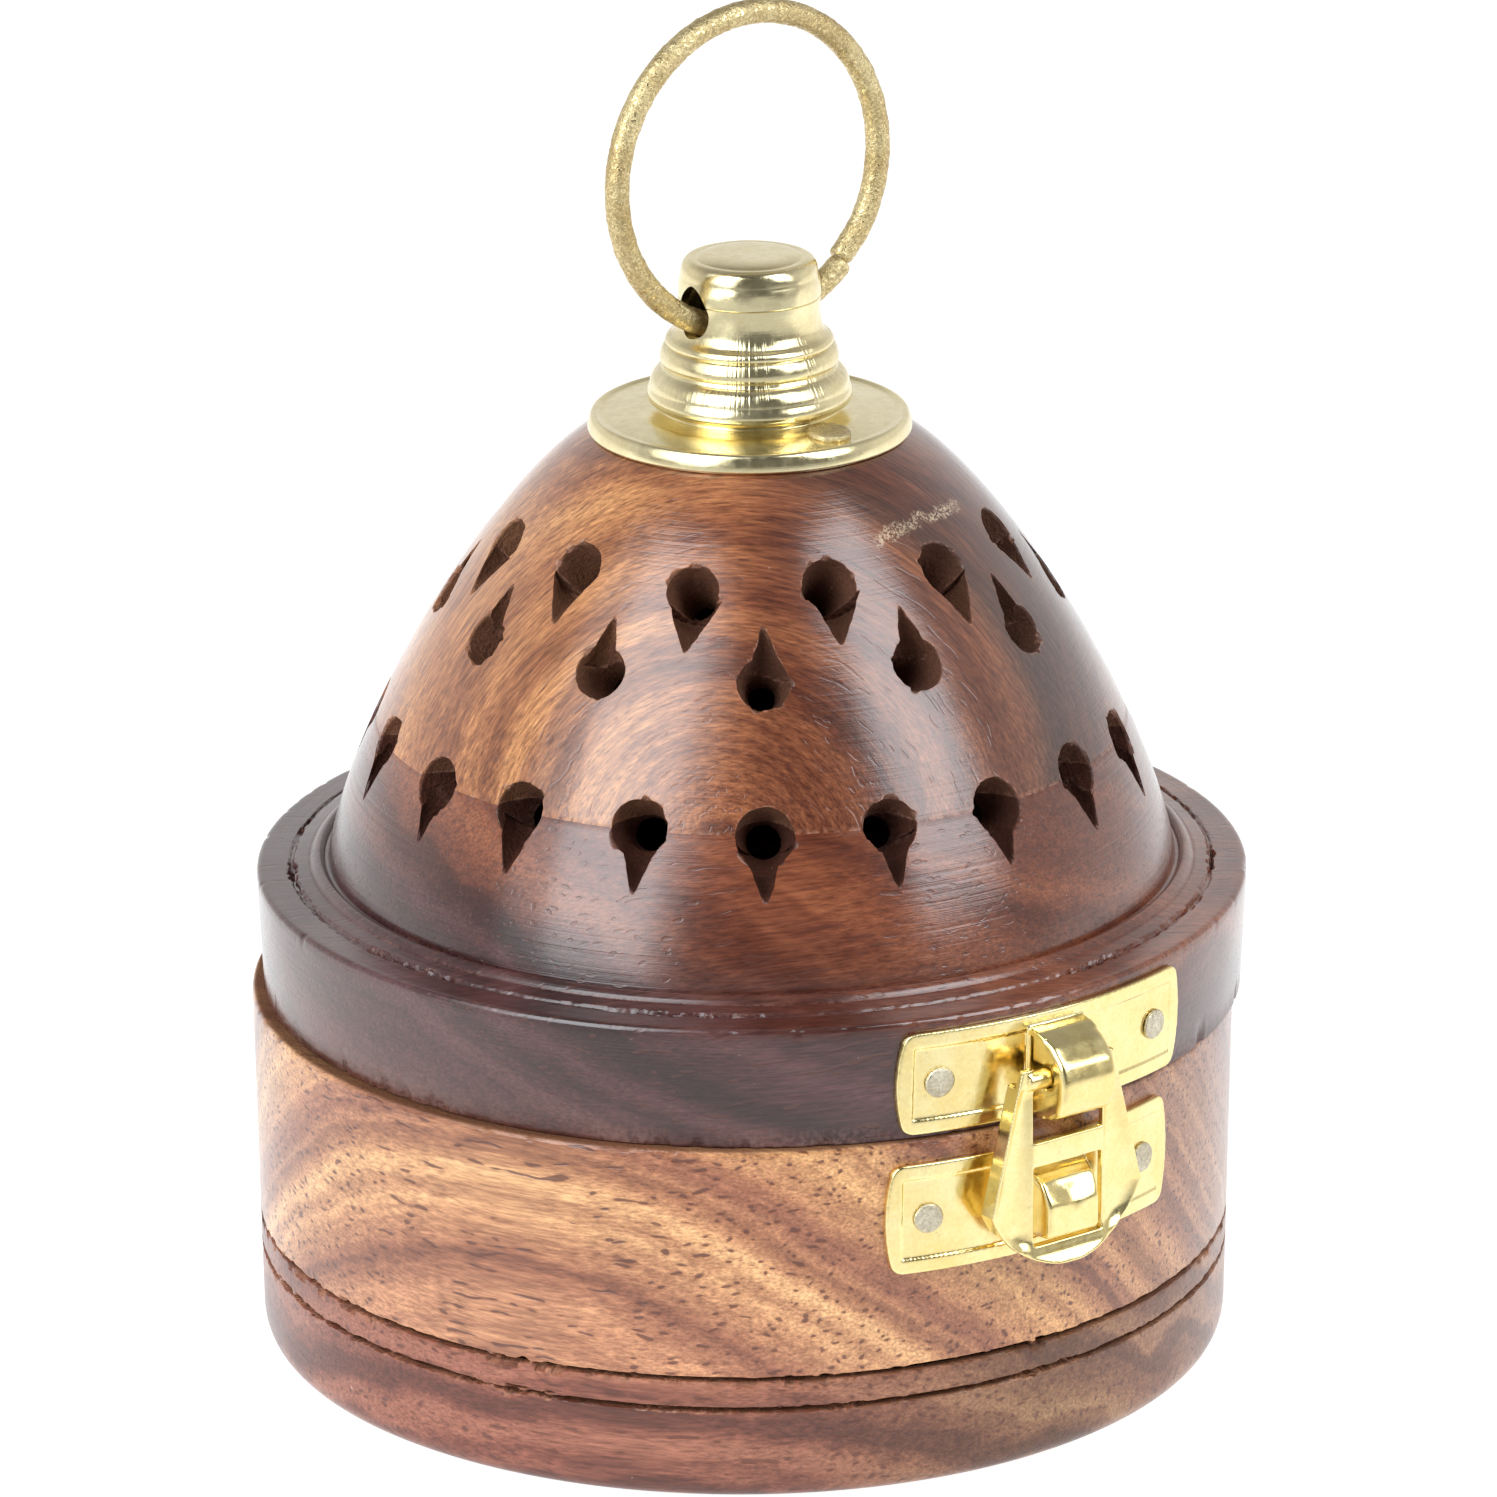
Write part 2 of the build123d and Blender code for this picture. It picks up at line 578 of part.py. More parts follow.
# ---------------------------------------------------------------- assembly
def main():
    os.makedirs("parts", exist_ok=True)
    base_leaf_z = BASE_H - LEAF_SHEET
    lid_leaf_z = LID_BOTTOM

    small_nail = nail(1.55, 0.45, 0.7, 7.0)
    small_hole = rod(0.7 + FIT, -7.1, 1.0)
    flange_nail = nail(2.2, 0.6, 0.75, 8.0)
    flange_hole = rod(0.75 + FIT, -8.1, 1.0)
    dish_nail = nail(1.6, 0.5, 0.7, 6.0)
    dish_hole = rod(0.7 + FIT, -6.1, 1.0)
    leaf_hole = rod(1.3, -LEAF_SHEET - 0.01, 0.2)
    leaf_pilot = rod(0.6 + FIT, -7.6, 0.0)

    # Nail places. The lid's own places are about the lid's axis.
    upper_places = front_nail_places(sum(UPPER_PLATE_Z) / 2, lid_side)
    lower_places = front_nail_places(sum(LOWER_PLATE_Z) / 2, wall_radius)
    base_leaf_places = [Pos(x, y, BASE_H) for x, y in leaf_nail_spots()]
    lid_leaf_places = [Pos(x, y, LID_BOTTOM) * Rot(180, 0, 0) for x, y in leaf_nail_spots()]

    # Base
    base = base_blank() - mortise(base_leaf_z, BASE_H + 1)
    for place in lower_places:
        base = base - place * small_hole
    for place in dish_nail_places():
        base = base - place * dish_hole
    for place in base_leaf_places:
        base = base - place * leaf_pilot
    wide = 2 * BODY_R
    export("base_plinth", base & slab(-wide, wide, -wide, wide, -1, GROOVE_HIGH_Z))
    export("base_wall", base & slab(-wide, wide, -wide, wide, GROOVE_HIGH_Z, BASE_H + 1))

    dish = ember_dish()
    for place in dish_nail_places():
        dish = dish - place * dish_hole
    export("ember_dish", dish)
    export("dish_nails", Compound([place * dish_nail for place in dish_nail_places()]))

    catch = bent_plate(LOWER_PLATE_Z, wall_radius) + Pos(STUD_X, 0, 0) * stud()
    catch = catch - shell(20, 40, wall_radius(20) - 8, wall_radius(40) - 8, 8)
    for place in lower_places:
        catch = catch - place * small_hole
    export("catch_plate", catch)
    export("catch_nails", Compound([place * small_nail for place in lower_places]))

    # Lid
    lid = LID * pierce(lid_blank()) - mortise(LID_BOTTOM - 1, lid_leaf_z + LEAF_SHEET)
    for place in upper_places:
        lid = lid - LID * place * small_hole
    for place in finial_nail_places():
        lid = lid - LID * place * flange_hole
    for place in lid_leaf_places:
        lid = lid - place * leaf_pilot
    export("lid_rim", lid & slab(-wide, wide, -wide, wide, 0, GLUE_Z))
    export("lid_dome", lid & slab(-wide, wide, -wide, wide, GLUE_Z, 2 * wide))

    finial = finial_blank() - ring_slot()
    for place in finial_nail_places():
        finial = finial - place * flange_hole
    export("finial", LID * finial)
    export("finial_nails", LID * Compound([place * flange_nail for place in finial_nail_places()]))

    latch = bent_plate(UPPER_PLATE_Z, lid_side) + hood()
    latch = latch - shell(30, 49, lid_side(30) - 8, lid_side(49) - 8, 8)
    for place in upper_places:
        latch = latch - place * small_hole
    export("latch_plate", LID * latch)
    export("latch_nails", LID * Compound([place * small_nail for place in upper_places]))

    # Moving pieces on the lid
    export("hasp", hasp())
    export("carrying_ring", LID * carrying_ring())

    # Lid hinge
    spans = knuckle_spans()
    base_leaf = hinge_leaf(base_leaf_z, spans[0::2])
    lid_leaf = hinge_leaf(lid_leaf_z, spans[1::2])
    for place in base_leaf_places:
        base_leaf = base_leaf - place * leaf_hole
    for place in lid_leaf_places:
        lid_leaf = lid_leaf - place * leaf_hole
    export("hinge_leaf_base", base_leaf)
    export("hinge_leaf_lid", lid_leaf)
    export("hinge_pin", along_x(HINGE_PIN_R, -HINGE_HALF_W - 0.4, HINGE_HALF_W + 0.4))
    export("hinge_nails_base", Compound([place * leaf_nail() for place in base_leaf_places]))
    export("hinge_nails_lid", Compound([place * leaf_nail() for place in lid_leaf_places]))


main()
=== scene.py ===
"""Looks of the turned wooden incense burner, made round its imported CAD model.

Blender objects are in metres. The mesh code works in millimetres in the same frame and scales at the end.
"""

from math import cos, pi, radians, sin, sqrt, tau

import bmesh
import bpy
import numpy as np
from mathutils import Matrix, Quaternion, Vector


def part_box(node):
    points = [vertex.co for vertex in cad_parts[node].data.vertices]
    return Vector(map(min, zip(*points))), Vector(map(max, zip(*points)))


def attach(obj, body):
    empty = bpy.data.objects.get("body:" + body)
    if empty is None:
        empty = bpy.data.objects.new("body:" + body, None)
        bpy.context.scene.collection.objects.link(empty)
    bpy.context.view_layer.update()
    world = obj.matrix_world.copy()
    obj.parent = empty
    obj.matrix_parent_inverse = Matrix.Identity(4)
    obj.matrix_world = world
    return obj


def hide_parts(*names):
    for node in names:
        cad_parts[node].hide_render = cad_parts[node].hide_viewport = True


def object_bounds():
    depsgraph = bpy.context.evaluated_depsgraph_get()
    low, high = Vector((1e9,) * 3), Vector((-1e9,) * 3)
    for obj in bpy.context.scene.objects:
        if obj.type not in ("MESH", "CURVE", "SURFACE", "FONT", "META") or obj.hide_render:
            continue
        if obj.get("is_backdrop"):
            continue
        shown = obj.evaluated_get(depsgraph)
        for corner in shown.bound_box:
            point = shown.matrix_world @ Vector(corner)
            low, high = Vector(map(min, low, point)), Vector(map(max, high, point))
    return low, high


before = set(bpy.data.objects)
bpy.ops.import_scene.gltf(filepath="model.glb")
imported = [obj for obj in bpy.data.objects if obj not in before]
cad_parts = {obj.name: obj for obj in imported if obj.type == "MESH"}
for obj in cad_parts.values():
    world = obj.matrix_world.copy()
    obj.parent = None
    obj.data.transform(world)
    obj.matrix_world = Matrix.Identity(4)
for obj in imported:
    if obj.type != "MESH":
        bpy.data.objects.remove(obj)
cad_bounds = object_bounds()
MM = 0.001


# ---- sizes from the frame, in millimetres
def box_mm(node):
    low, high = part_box(node)
    return np.array(low) / MM, np.array(high) / MM


_, PLINTH_HIGH = box_mm("base_plinth")
_, WALL_HIGH = box_mm("base_wall")
RIM_LOW, RIM_HIGH = box_mm("lid_rim")
_, DOME_HIGH = box_mm("lid_dome")
FINIAL_LOW, FINIAL_HIGH = box_mm("finial")
RING_LOW, RING_HIGH = box_mm("carrying_ring")
DISH_LOW, DISH_HIGH = box_mm("ember_dish")

BODY_R = WALL_HIGH[0]
BASE_H = WALL_HIGH[2]
SPLIT_Z = PLINTH_HIGH[2]
LID_X = (RIM_LOW[0] + RIM_HIGH[0]) / 2
LID_BOTTOM = RIM_LOW[2]
LID_TOP_R = (RIM_HIGH[0] - RIM_LOW[0]) / 2
GLUE_Z = RIM_HIGH[2]
FLAT_Z = DOME_HIGH[2]
CROWN_Z = FINIAL_HIGH[2]
FLANGE_R = (FINIAL_HIGH[0] - FINIAL_LOW[0]) / 2
FLOOR_Z = DISH_LOW[2]

# The turner's other sizes, as in the CAD model
BASE_FLARE = 0.5
FOOT_R = 48.0
FOOT_ROUND = 1.5
GROOVES = (9.6, SPLIT_Z)
GROOVE_DEPTH = 1.0
GROOVE_HALF = 0.27
CAVITY_R = 41.5
RIM_ROUND = 0.5
LID_BOTTOM_R = 49.8
LEDGE_Z = 49.2
LEDGE_STEP_R = 46.7
DOME_FOOT_R = 43.0
DOME_FOOT_Z = 50.0
FLAT_R = 15.35
LID_CAVITY_R = 38.5
DROP_ROWS = (
    {"z": 64.7, "count": 19, "first": -15.4, "radius": 2.8, "length": 6.6, "tip": -1, "flare": 0.34},
    {"z": 78.1, "count": 12, "first": -34.2, "radius": 2.7, "length": 6.3, "tip": 1, "flare": 0.34},
    {"z": 85.5, "count": 12, "first": -19.0, "radius": 2.7, "length": 6.3, "tip": -1, "flare": 0.47},
)
DROP_TILT = radians(15)
HASP_ARC_R = 9.87
HASP_ARC_Z = 32.77
HASP_OPENING = 4.3
STUD_X = 0.1
CATCH_FRONT = box_mm("catch_plate")[0][1]
WIRE_R = 1.3

# The photo's view: degrees, with the azimuth from -Y towards +X; metres; the lens in millimetres
VIEW_AZIMUTH = -36.0
VIEW_ELEVATION = 19.0
VIEW_DISTANCE = 0.85
VIEW_ROLL = 0.25
VIEW_LENS = 202.0
VIEW_HEIGHT = 0.06082
VIEW_ASIDE = 0.0007
LIGHT_AIM = Vector((0, 0, 0.07))
LIGHT_COLOUR = (0.91, 0.96, 1.0)


# ---- noise
def lattice(ix, iy, iz, seed):
    """A repeatable random number in 0..1 for each point of the integer lattice; the factors only scramble."""
    mask = 0xFFFFFFFF
    h = (ix * 374761393 + iy * 668265263 + iz * 1440662683 + seed * 974634777) & mask
    h = ((h ^ (h >> 13)) * 1274126177) & mask
    return ((h ^ (h >> 16)) & 0xFFFF) / 65535.0


def noise(points, size, seed=0):
    """Smooth noise in 0..1 whose features have about that size; size is one number or one for each axis."""
    q = np.asarray(points, float) / np.asarray(size, float)
    cell = np.floor(q).astype(np.int64)
    part = q - cell
    part = part * part * (3 - 2 * part)
    total = 0
    for dx in (0, 1):
        for dy in (0, 1):
            for dz in (0, 1):
                weight = 1
                for axis, d in enumerate((dx, dy, dz)):
                    weight = weight * (part[..., axis] if d else 1 - part[..., axis])
                corner = lattice(cell[..., 0] + dx, cell[..., 1] + dy, cell[..., 2] + dz, seed)
                total = total + weight * corner
    return total


def step_up(low, high, value):
    """0 below low, 1 above high and smooth between them."""
    t = np.clip((value - low) / (high - low), 0, 1)
    return t * t * (3 - 2 * t)


# ---- meshes
def link(name, mesh):
    obj = bpy.data.objects.new(name, mesh)
    bpy.context.scene.collection.objects.link(obj)
    return obj


def mesh_of(name, grids, closed_rows=False):
    """An object made of rings of points: each grid is (ring, point in ring, xyz) in millimetres.

    With closed_rows the last ring joins the first; otherwise both ends are closed with a fan.
    """
    points, faces, start = [], [], 0
    for grid in grids:
        rows, cols = grid.shape[:2]
        index = start + np.arange(rows * cols).reshape(rows, cols)
        low = index if closed_rows else index[:-1]
        high = np.roll(index, -1, 0) if closed_rows else index[1:]
        quads = np.stack([low, np.roll(low, -1, 1), np.roll(high, -1, 1), high], -1).reshape(-1, 4)
        faces.extend(quads.tolist())
        points.append(grid.reshape(-1, 3))
        start += rows * cols
        if not closed_rows:
            for ring, flip in ((index[0], True), (index[-1], False)):
                points.append(grid.reshape(-1, 3)[ring - index[0, 0]].mean(0, keepdims=True))
                after = np.roll(ring, -1)
                pairs = zip(after, ring) if flip else zip(ring, after)
                faces.extend([int(a), int(b), start] for a, b in pairs)
                start += 1
    mesh = bpy.data.meshes.new(name)
    mesh.from_pydata(np.concatenate(points) * MM, [], faces)
    work = bmesh.new()
    work.from_mesh(mesh)
    if work.calc_volume(signed=True) < 0:
        bmesh.ops.reverse_faces(work, faces=work.faces)
    work.to_mesh(mesh)
    work.free()
    return link(name, mesh)


def even(step):
    """The same spacing everywhere."""
    return lambda radius, height: step


def trace(start, *steps, spacing):
    """Points of an outline in (radius, height), about spacing(radius, height) apart.

    A step is a point, (point on the way, end) or a cubic's three points.
    """
    points = [np.array(start, float)]
    for step in steps:
        a = points[-1]
        if np.ndim(step) == 1:
            b = np.array(step, float)
            curve = lambda t: a + (b - a) * t
        elif len(step) == 2:
            m, b = np.array(step, float)
            curve = lambda t: a * (1 - t) * (1 - 2 * t) + m * 4 * t * (1 - t) + b * t * (2 * t - 1)
        else:
            p, q, b = np.array(step, float)
            curve = lambda t: a * (1 - t) ** 3 + p * 3 * t * (1 - t) ** 2 + q * 3 * t * t * (1 - t) + b * t**3
        fine = np.array([curve(t) for t in np.linspace(0, 1, 33)])
        length = np.linalg.norm(np.diff(fine, axis=0), axis=1).sum()
        stops, t = [0.0], 0.0
        while t < 1:
            t += spacing(*curve(min(t, 1))) / length
            stops.append(t)
        for t in np.array(stops[1:]) / stops[-1]:
            points.append(curve(t))
    return np.array(points)


def spun(outline, columns, x=0.0):
    """The outline turned round the vertical axis through x, as a grid of rings."""
    angle = np.linspace(0, tau, columns, endpoint=False)
    radius, height = outline[:, :1], outline[:, 1:]
    return np.stack(
        [radius * np.sin(angle) + x, -radius * np.cos(angle), height + 0 * angle], -1
    )


def rings(centre, side, up, around, radius):
    """Rings of points about centres, in the plane of two directions."""
    flat = np.cos(around)[:, None] * side + np.sin(around)[:, None] * up
    return centre + flat * radius[..., None]


def push(grid, amount, x=0.0):
    """Moves points away from the vertical axis through x."""
    out = grid - np.array([x, 0, 0])
    out[..., 2] = 0
    return grid + out / np.maximum(np.linalg.norm(out, axis=-1, keepdims=True), 1e-6) * amount[..., None]


def baked(obj, *modifiers):
    """Applies the modifiers, each given as (type, settings), and returns the object."""
    for kind, settings in modifiers:
        modifier = obj.modifiers.new(kind.lower(), kind)
        for key, value in settings.items():
            setattr(modifier, key, value)
    bpy.context.view_layer.update()
    shaped = bpy.data.meshes.new_from_object(obj.evaluated_get(bpy.context.evaluated_depsgraph_get()))
    obj.modifiers.clear()
    old = obj.data
    obj.data = shaped
    bpy.data.meshes.remove(old)
    return obj


def cut(obj, cutter):
    """Takes the cutter away from the object and deletes it."""
    baked(obj, ("BOOLEAN", {"object": cutter, "operation": "DIFFERENCE", "solver": "MANIFOLD"}))
    bpy.data.objects.remove(cutter)


def points_of(obj):
    co = np.zeros(len(obj.data.vertices) * 3, np.float32)
    obj.data.vertices.foreach_get("co", co)
    return co.reshape(-1, 3).astype(float) / MM


def set_points(obj, points):
    obj.data.vertices.foreach_set("co", (points * MM).astype(np.float32).ravel())
    obj.data.update()


def attribute(obj, name, values):
    layer = obj.data.attributes.new(name, "FLOAT", "POINT")
    layer.data.foreach_set("value", np.asarray(values, np.float32))


def shade(obj, angle=32):
    """Smooth shading with sharp edges kept, which are also marked for worn, paler edges."""
    mesh = obj.data
    mesh.shade_smooth()
    mesh.set_sharp_from_angle(angle=radians(angle))
    sharp = np.zeros(len(mesh.edges), bool)
    mesh.attributes["sharp_edge"].data.foreach_get("value", sharp)
    ends = np.zeros(len(mesh.edges) * 2, np.int32)
    mesh.edges.foreach_get("vertices", ends)
    worn = np.zeros(len(mesh.vertices), np.float32)
    worn[ends.reshape(-1, 2)[sharp].ravel()] = 1
    attribute(obj, "edge", worn)


def finish(obj, node, body, slot, material):
    obj.data.materials.clear()
    obj.data.materials.append(material)
    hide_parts(node)
    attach(obj, body)


# ---- node helpers
def feed(node, inputs):
    """Fills a node's inputs: a socket is linked, any other value is set."""
    for key, value in inputs.items():
        if isinstance(value, bpy.types.NodeSocket):
            node.id_data.links.new(value, node.inputs[key])
        else:
            node.inputs[key].default_value = value


def put(kind, inputs, tree=None, **settings):
    """Adds a node and fills its inputs; without a tree it goes into the tree of the sockets among them."""
    for value in inputs.values():
        if isinstance(value, bpy.types.NodeSocket):
            tree = value.id_data
    node = tree.nodes.new(kind)
    for key, value in settings.items():
        setattr(node, key, value)
    feed(node, inputs)
    return node


def calc(operation, *values):
    node = put("ShaderNodeMath", dict(enumerate(values)), operation=operation)
    return node.outputs[0]


def vector(operation, *values, output=0):
    node = put("ShaderNodeVectorMath", dict(enumerate(values)), operation=operation)
    return node.outputs[output]


def times(a, b):
    return calc("MULTIPLY", a, b)


def plus(a, b):
    return calc("ADD", a, b)


def minus(a, b):
    return calc("SUBTRACT", a, b)


def combined(*parts):
    """A vector made of two or three numbers."""
    return put("ShaderNodeCombineXYZ", dict(enumerate(parts))).outputs[0]


def blend(factor, a, b, mode="MIX"):
    """A mix of two colours; a plain colour is (r, g, b)."""
    a, b = [(*colour, 1) if isinstance(colour, tuple) else colour for colour in (a, b)]
    node = put("ShaderNodeMix", {0: factor, 6: a, 7: b}, data_type="RGBA", blend_type=mode)
    return node.outputs[2]


def spread(value, low, high, to_low=0.0, to_high=1.0):
    """Maps low to high onto to_low to to_high, and holds the ends beyond."""
    node = put("ShaderNodeMapRange", {0: value, 1: low, 2: high, 3: to_low, 4: to_high})
    return node.outputs[0]


def ramp(value, stops):
    """A colour ramp; stops are (place, (r, g, b))."""
    node = put("ShaderNodeValToRGB", {0: value})
    elements = node.color_ramp.elements
    while len(elements) < len(stops):
        elements.new(0.5)
    for element, (place, colour) in zip(elements, stops):
        element.position = place
        element.color = (*colour, 1)
    return node.outputs[0]


def cloud(where, scale, detail, rough):
    """Noise between 0 and 1, mostly near a half; scale is one number or one for each axis."""
    if isinstance(scale, tuple):
        where, scale = stretched(where, scale), 1.0
    inputs = {"Vector": where, "Scale": scale, "Detail": detail, "Roughness": rough}
    return put("ShaderNodeTexNoise", inputs).outputs[0]


def stretched(where, scales):
    return vector("MULTIPLY", where, scales)


def marks(shader, name):
    """The marks of that name on the mesh's points."""
    return put("ShaderNodeAttribute", {}, shader.id_data, attribute_name=name).outputs["Fac"]


def new_material(name):
    """A material, its shader and the place on the object in millimetres."""
    material = bpy.data.materials.new(name)
    material.use_nodes = True
    tree = material.node_tree
    place = put("ShaderNodeTexCoord", {}, tree).outputs["Object"]
    return material, tree.nodes["Principled BSDF"], stretched(place, (1 / MM,) * 3)


def bumped(height):
    """The normal of a surface raised by a height in millimetres."""
    return put("ShaderNodeBump", {"Height": height, "Distance": MM, "Strength": 1.0}).outputs[0]


def along(place, direction):
    """How far a place lies along a direction."""
    return vector("DOT_PRODUCT", place, tuple(direction), output=1)


def length(value):
    return vector("LENGTH", value, output=1)


# ---- wood
# Tints are colours that multiply the wood's own, at places from dark to light
UNTINTED = (1.0, 1.0, 1.0)
GROWTH_TINTS = (
    (0.0, (0.38, 0.27, 0.26)), (0.3, (0.74, 0.64, 0.62)), (0.5, UNTINTED), (0.75, (1.35, 1.45, 1.42)),
    (1.0, (1.6, 1.9, 1.9)),
)
FIBRE_TINTS = ((0.30, (0.42, 0.33, 0.28)), (0.5, UNTINTED), (0.70, (1.62, 1.75, 1.75)))
VESSEL_TINTS = ((0.0, UNTINTED), (1.0, (0.46, 0.24, 0.16)))
TURNING_TINTS = ((0.25, (0.80, 0.80, 0.80)), (0.75, (1.12, 1.12, 1.12)))
VESSEL_COLOUR = (0.10, 0.028, 0.016)
VEIN_COLOUR = (0.024, 0.013, 0.011)
SCUFF_COLOUR = (0.62, 0.46, 0.31)
DUST_COLOUR = (0.85, 0.74, 0.66)
KNOT_R = 30.0  # radius at which the fibres of a curled board have their true length
VEIN_R = 33.8  # distance of the dark vein from the knot
LACQUER_IOR = 1.65
WOOD_SPECULAR = 0.15


def straight_board(place, grain, tilt, layers):
    """Place in a board: along the fibres, beside and deep; and the distance across its growth layers."""
    g, t = radians(grain), radians(tilt)
    fibre_way = Vector((cos(g) * cos(t), sin(g) * cos(t), sin(t)))
    side_way = Vector((-sin(g), cos(g), 0))
    ways = (fibre_way, side_way, fibre_way.cross(side_way))
    board = combined(*[along(place, way) for way in ways])
    return board, along(place, Vector(layers).normalized())


def curled_board(place, knot):
    """The same for grain that curls round a knot facing the camera; and the distance aside of the knot."""
    facing = radians(VIEW_AZIMUTH)
    away = vector("SUBTRACT", place, knot)
    aside = along(away, (cos(facing), sin(facing), 0))
    above = along(away, (0, 0, 1))
    reach = length(combined(aside, above))
    curl = times(calc("ARCTAN2", aside, above), KNOT_R)
    deep = along(away, (sin(facing), -cos(facing), 0))
    return combined(curl, reach, deep), reach, aside


def growth(board, depth, width):
    """Tint of the growth bands, which follow the depth, with blotches and fine lines along the fibres."""
    inputs = {"W": calc("DIVIDE", depth, width), "Scale": 1.0, "Detail": 3.0, "Roughness": 0.55}
    bands = put("ShaderNodeTexNoise", inputs, noise_dimensions="1D").outputs[0]
    mottle = cloud(board, (0.10, 0.34, 0.34), 4.0, 0.66)
    lines = cloud(board, (0.05, 1.5, 1.5), 3.0, 0.6)
    tone = spread(bands, 0.30, 0.70)
    tone = plus(tone, times(minus(mottle, 0.5), 0.75))
    tone = plus(tone, times(minus(lines, 0.5), 0.8))
    return ramp(tone, GROWTH_TINTS)


def vein(reach, aside):
    """How much the dark vein shows, a curl on one side of the knot."""
    away = calc("ABSOLUTE", minus(reach, VEIN_R))
    return times(spread(away, 0.3, 2.6, 0.6, 0.0), spread(aside, 2.0, 14.0))


def vessels(board):
    """Thin tubes along the fibres, seen as dots where they are cut across and as streaks along them.

    Returns how much the tubes show, and how much the darker wood round them does.
    """
    where = stretched(board, (0.14, 0.30, 0.30))
    inputs = {"Vector": where, "Scale": 1.0, "Detail": 2.0}
    wander = put("ShaderNodeTexNoise", inputs).outputs["Color"]
    section = stretched(board, (0.0, 1.0, 1.0))
    section = vector("ADD", section, stretched(wander, (0.0, 2.6, 2.6)))
    parts = put("ShaderNodeSeparateXYZ", {0: section}).outputs
    inputs = {"Vector": combined(parts[1], parts[2]), "Scale": 0.85}
    away = put("ShaderNodeTexVoronoi", inputs, voronoi_dimensions="2D").outputs["Distance"]
    break_up = cloud(board, (0.36, 0.3, 0.3), 1.0, 0.5)
    inside = minus(spread(break_up, 0.34, 0.50, 0.02, 0.17), away)
    return spread(inside, -0.01, 0.05), spread(inside, -0.20, 0.05)


def turning_place(place, centre):
    """The distance to the turning axis and the height, so that noise over it makes rings round the axis."""
    centred = vector("ADD", place, (-centre, 0, 0))
    parts = put("ShaderNodeSeparateXYZ", {0: centred}).outputs
    rings = combined(length(combined(parts[0], parts[1])), parts[2])
    return vector("ADD", rings, stretched(centred, (0.006, 0.006, 0.0)))


def turning_rings(place, centre):
    """Height of the fine rings left by the tool, stronger in some patches."""
    rings = cloud(turning_place(place, centre), 1.6, 4.0, 0.75)
    patch = cloud(place, (0.05, 0.05, 0.11), 2.0, 0.5)
    return times(rings, spread(patch, 0.35, 0.65, 0.55, 1.3))


def scuffed(place, start, end):
    """How much a speckled scuff between two points shows."""
    way = Vector(end) - Vector(start)
    away = vector("SUBTRACT", place, start)
    part = along(away, way / way.length_squared)
    part = calc("MINIMUM", calc("MAXIMUM", part, 0.0), 1.0)
    nearest = put("ShaderNodeVectorMath", {0: tuple(way), 3: part}, operation="SCALE").outputs[0]
    distance = length(vector("SUBTRACT", away, nearest))
    ragged = times(minus(cloud(place, 0.8, 2.0, 0.6), 0.5), 2.4)
    band = spread(plus(distance, ragged), 0.3, 0.85, 1.0, 0.0)
    return times(band, spread(cloud(place, 3.6, 3.0, 0.7), 0.45, 0.58))


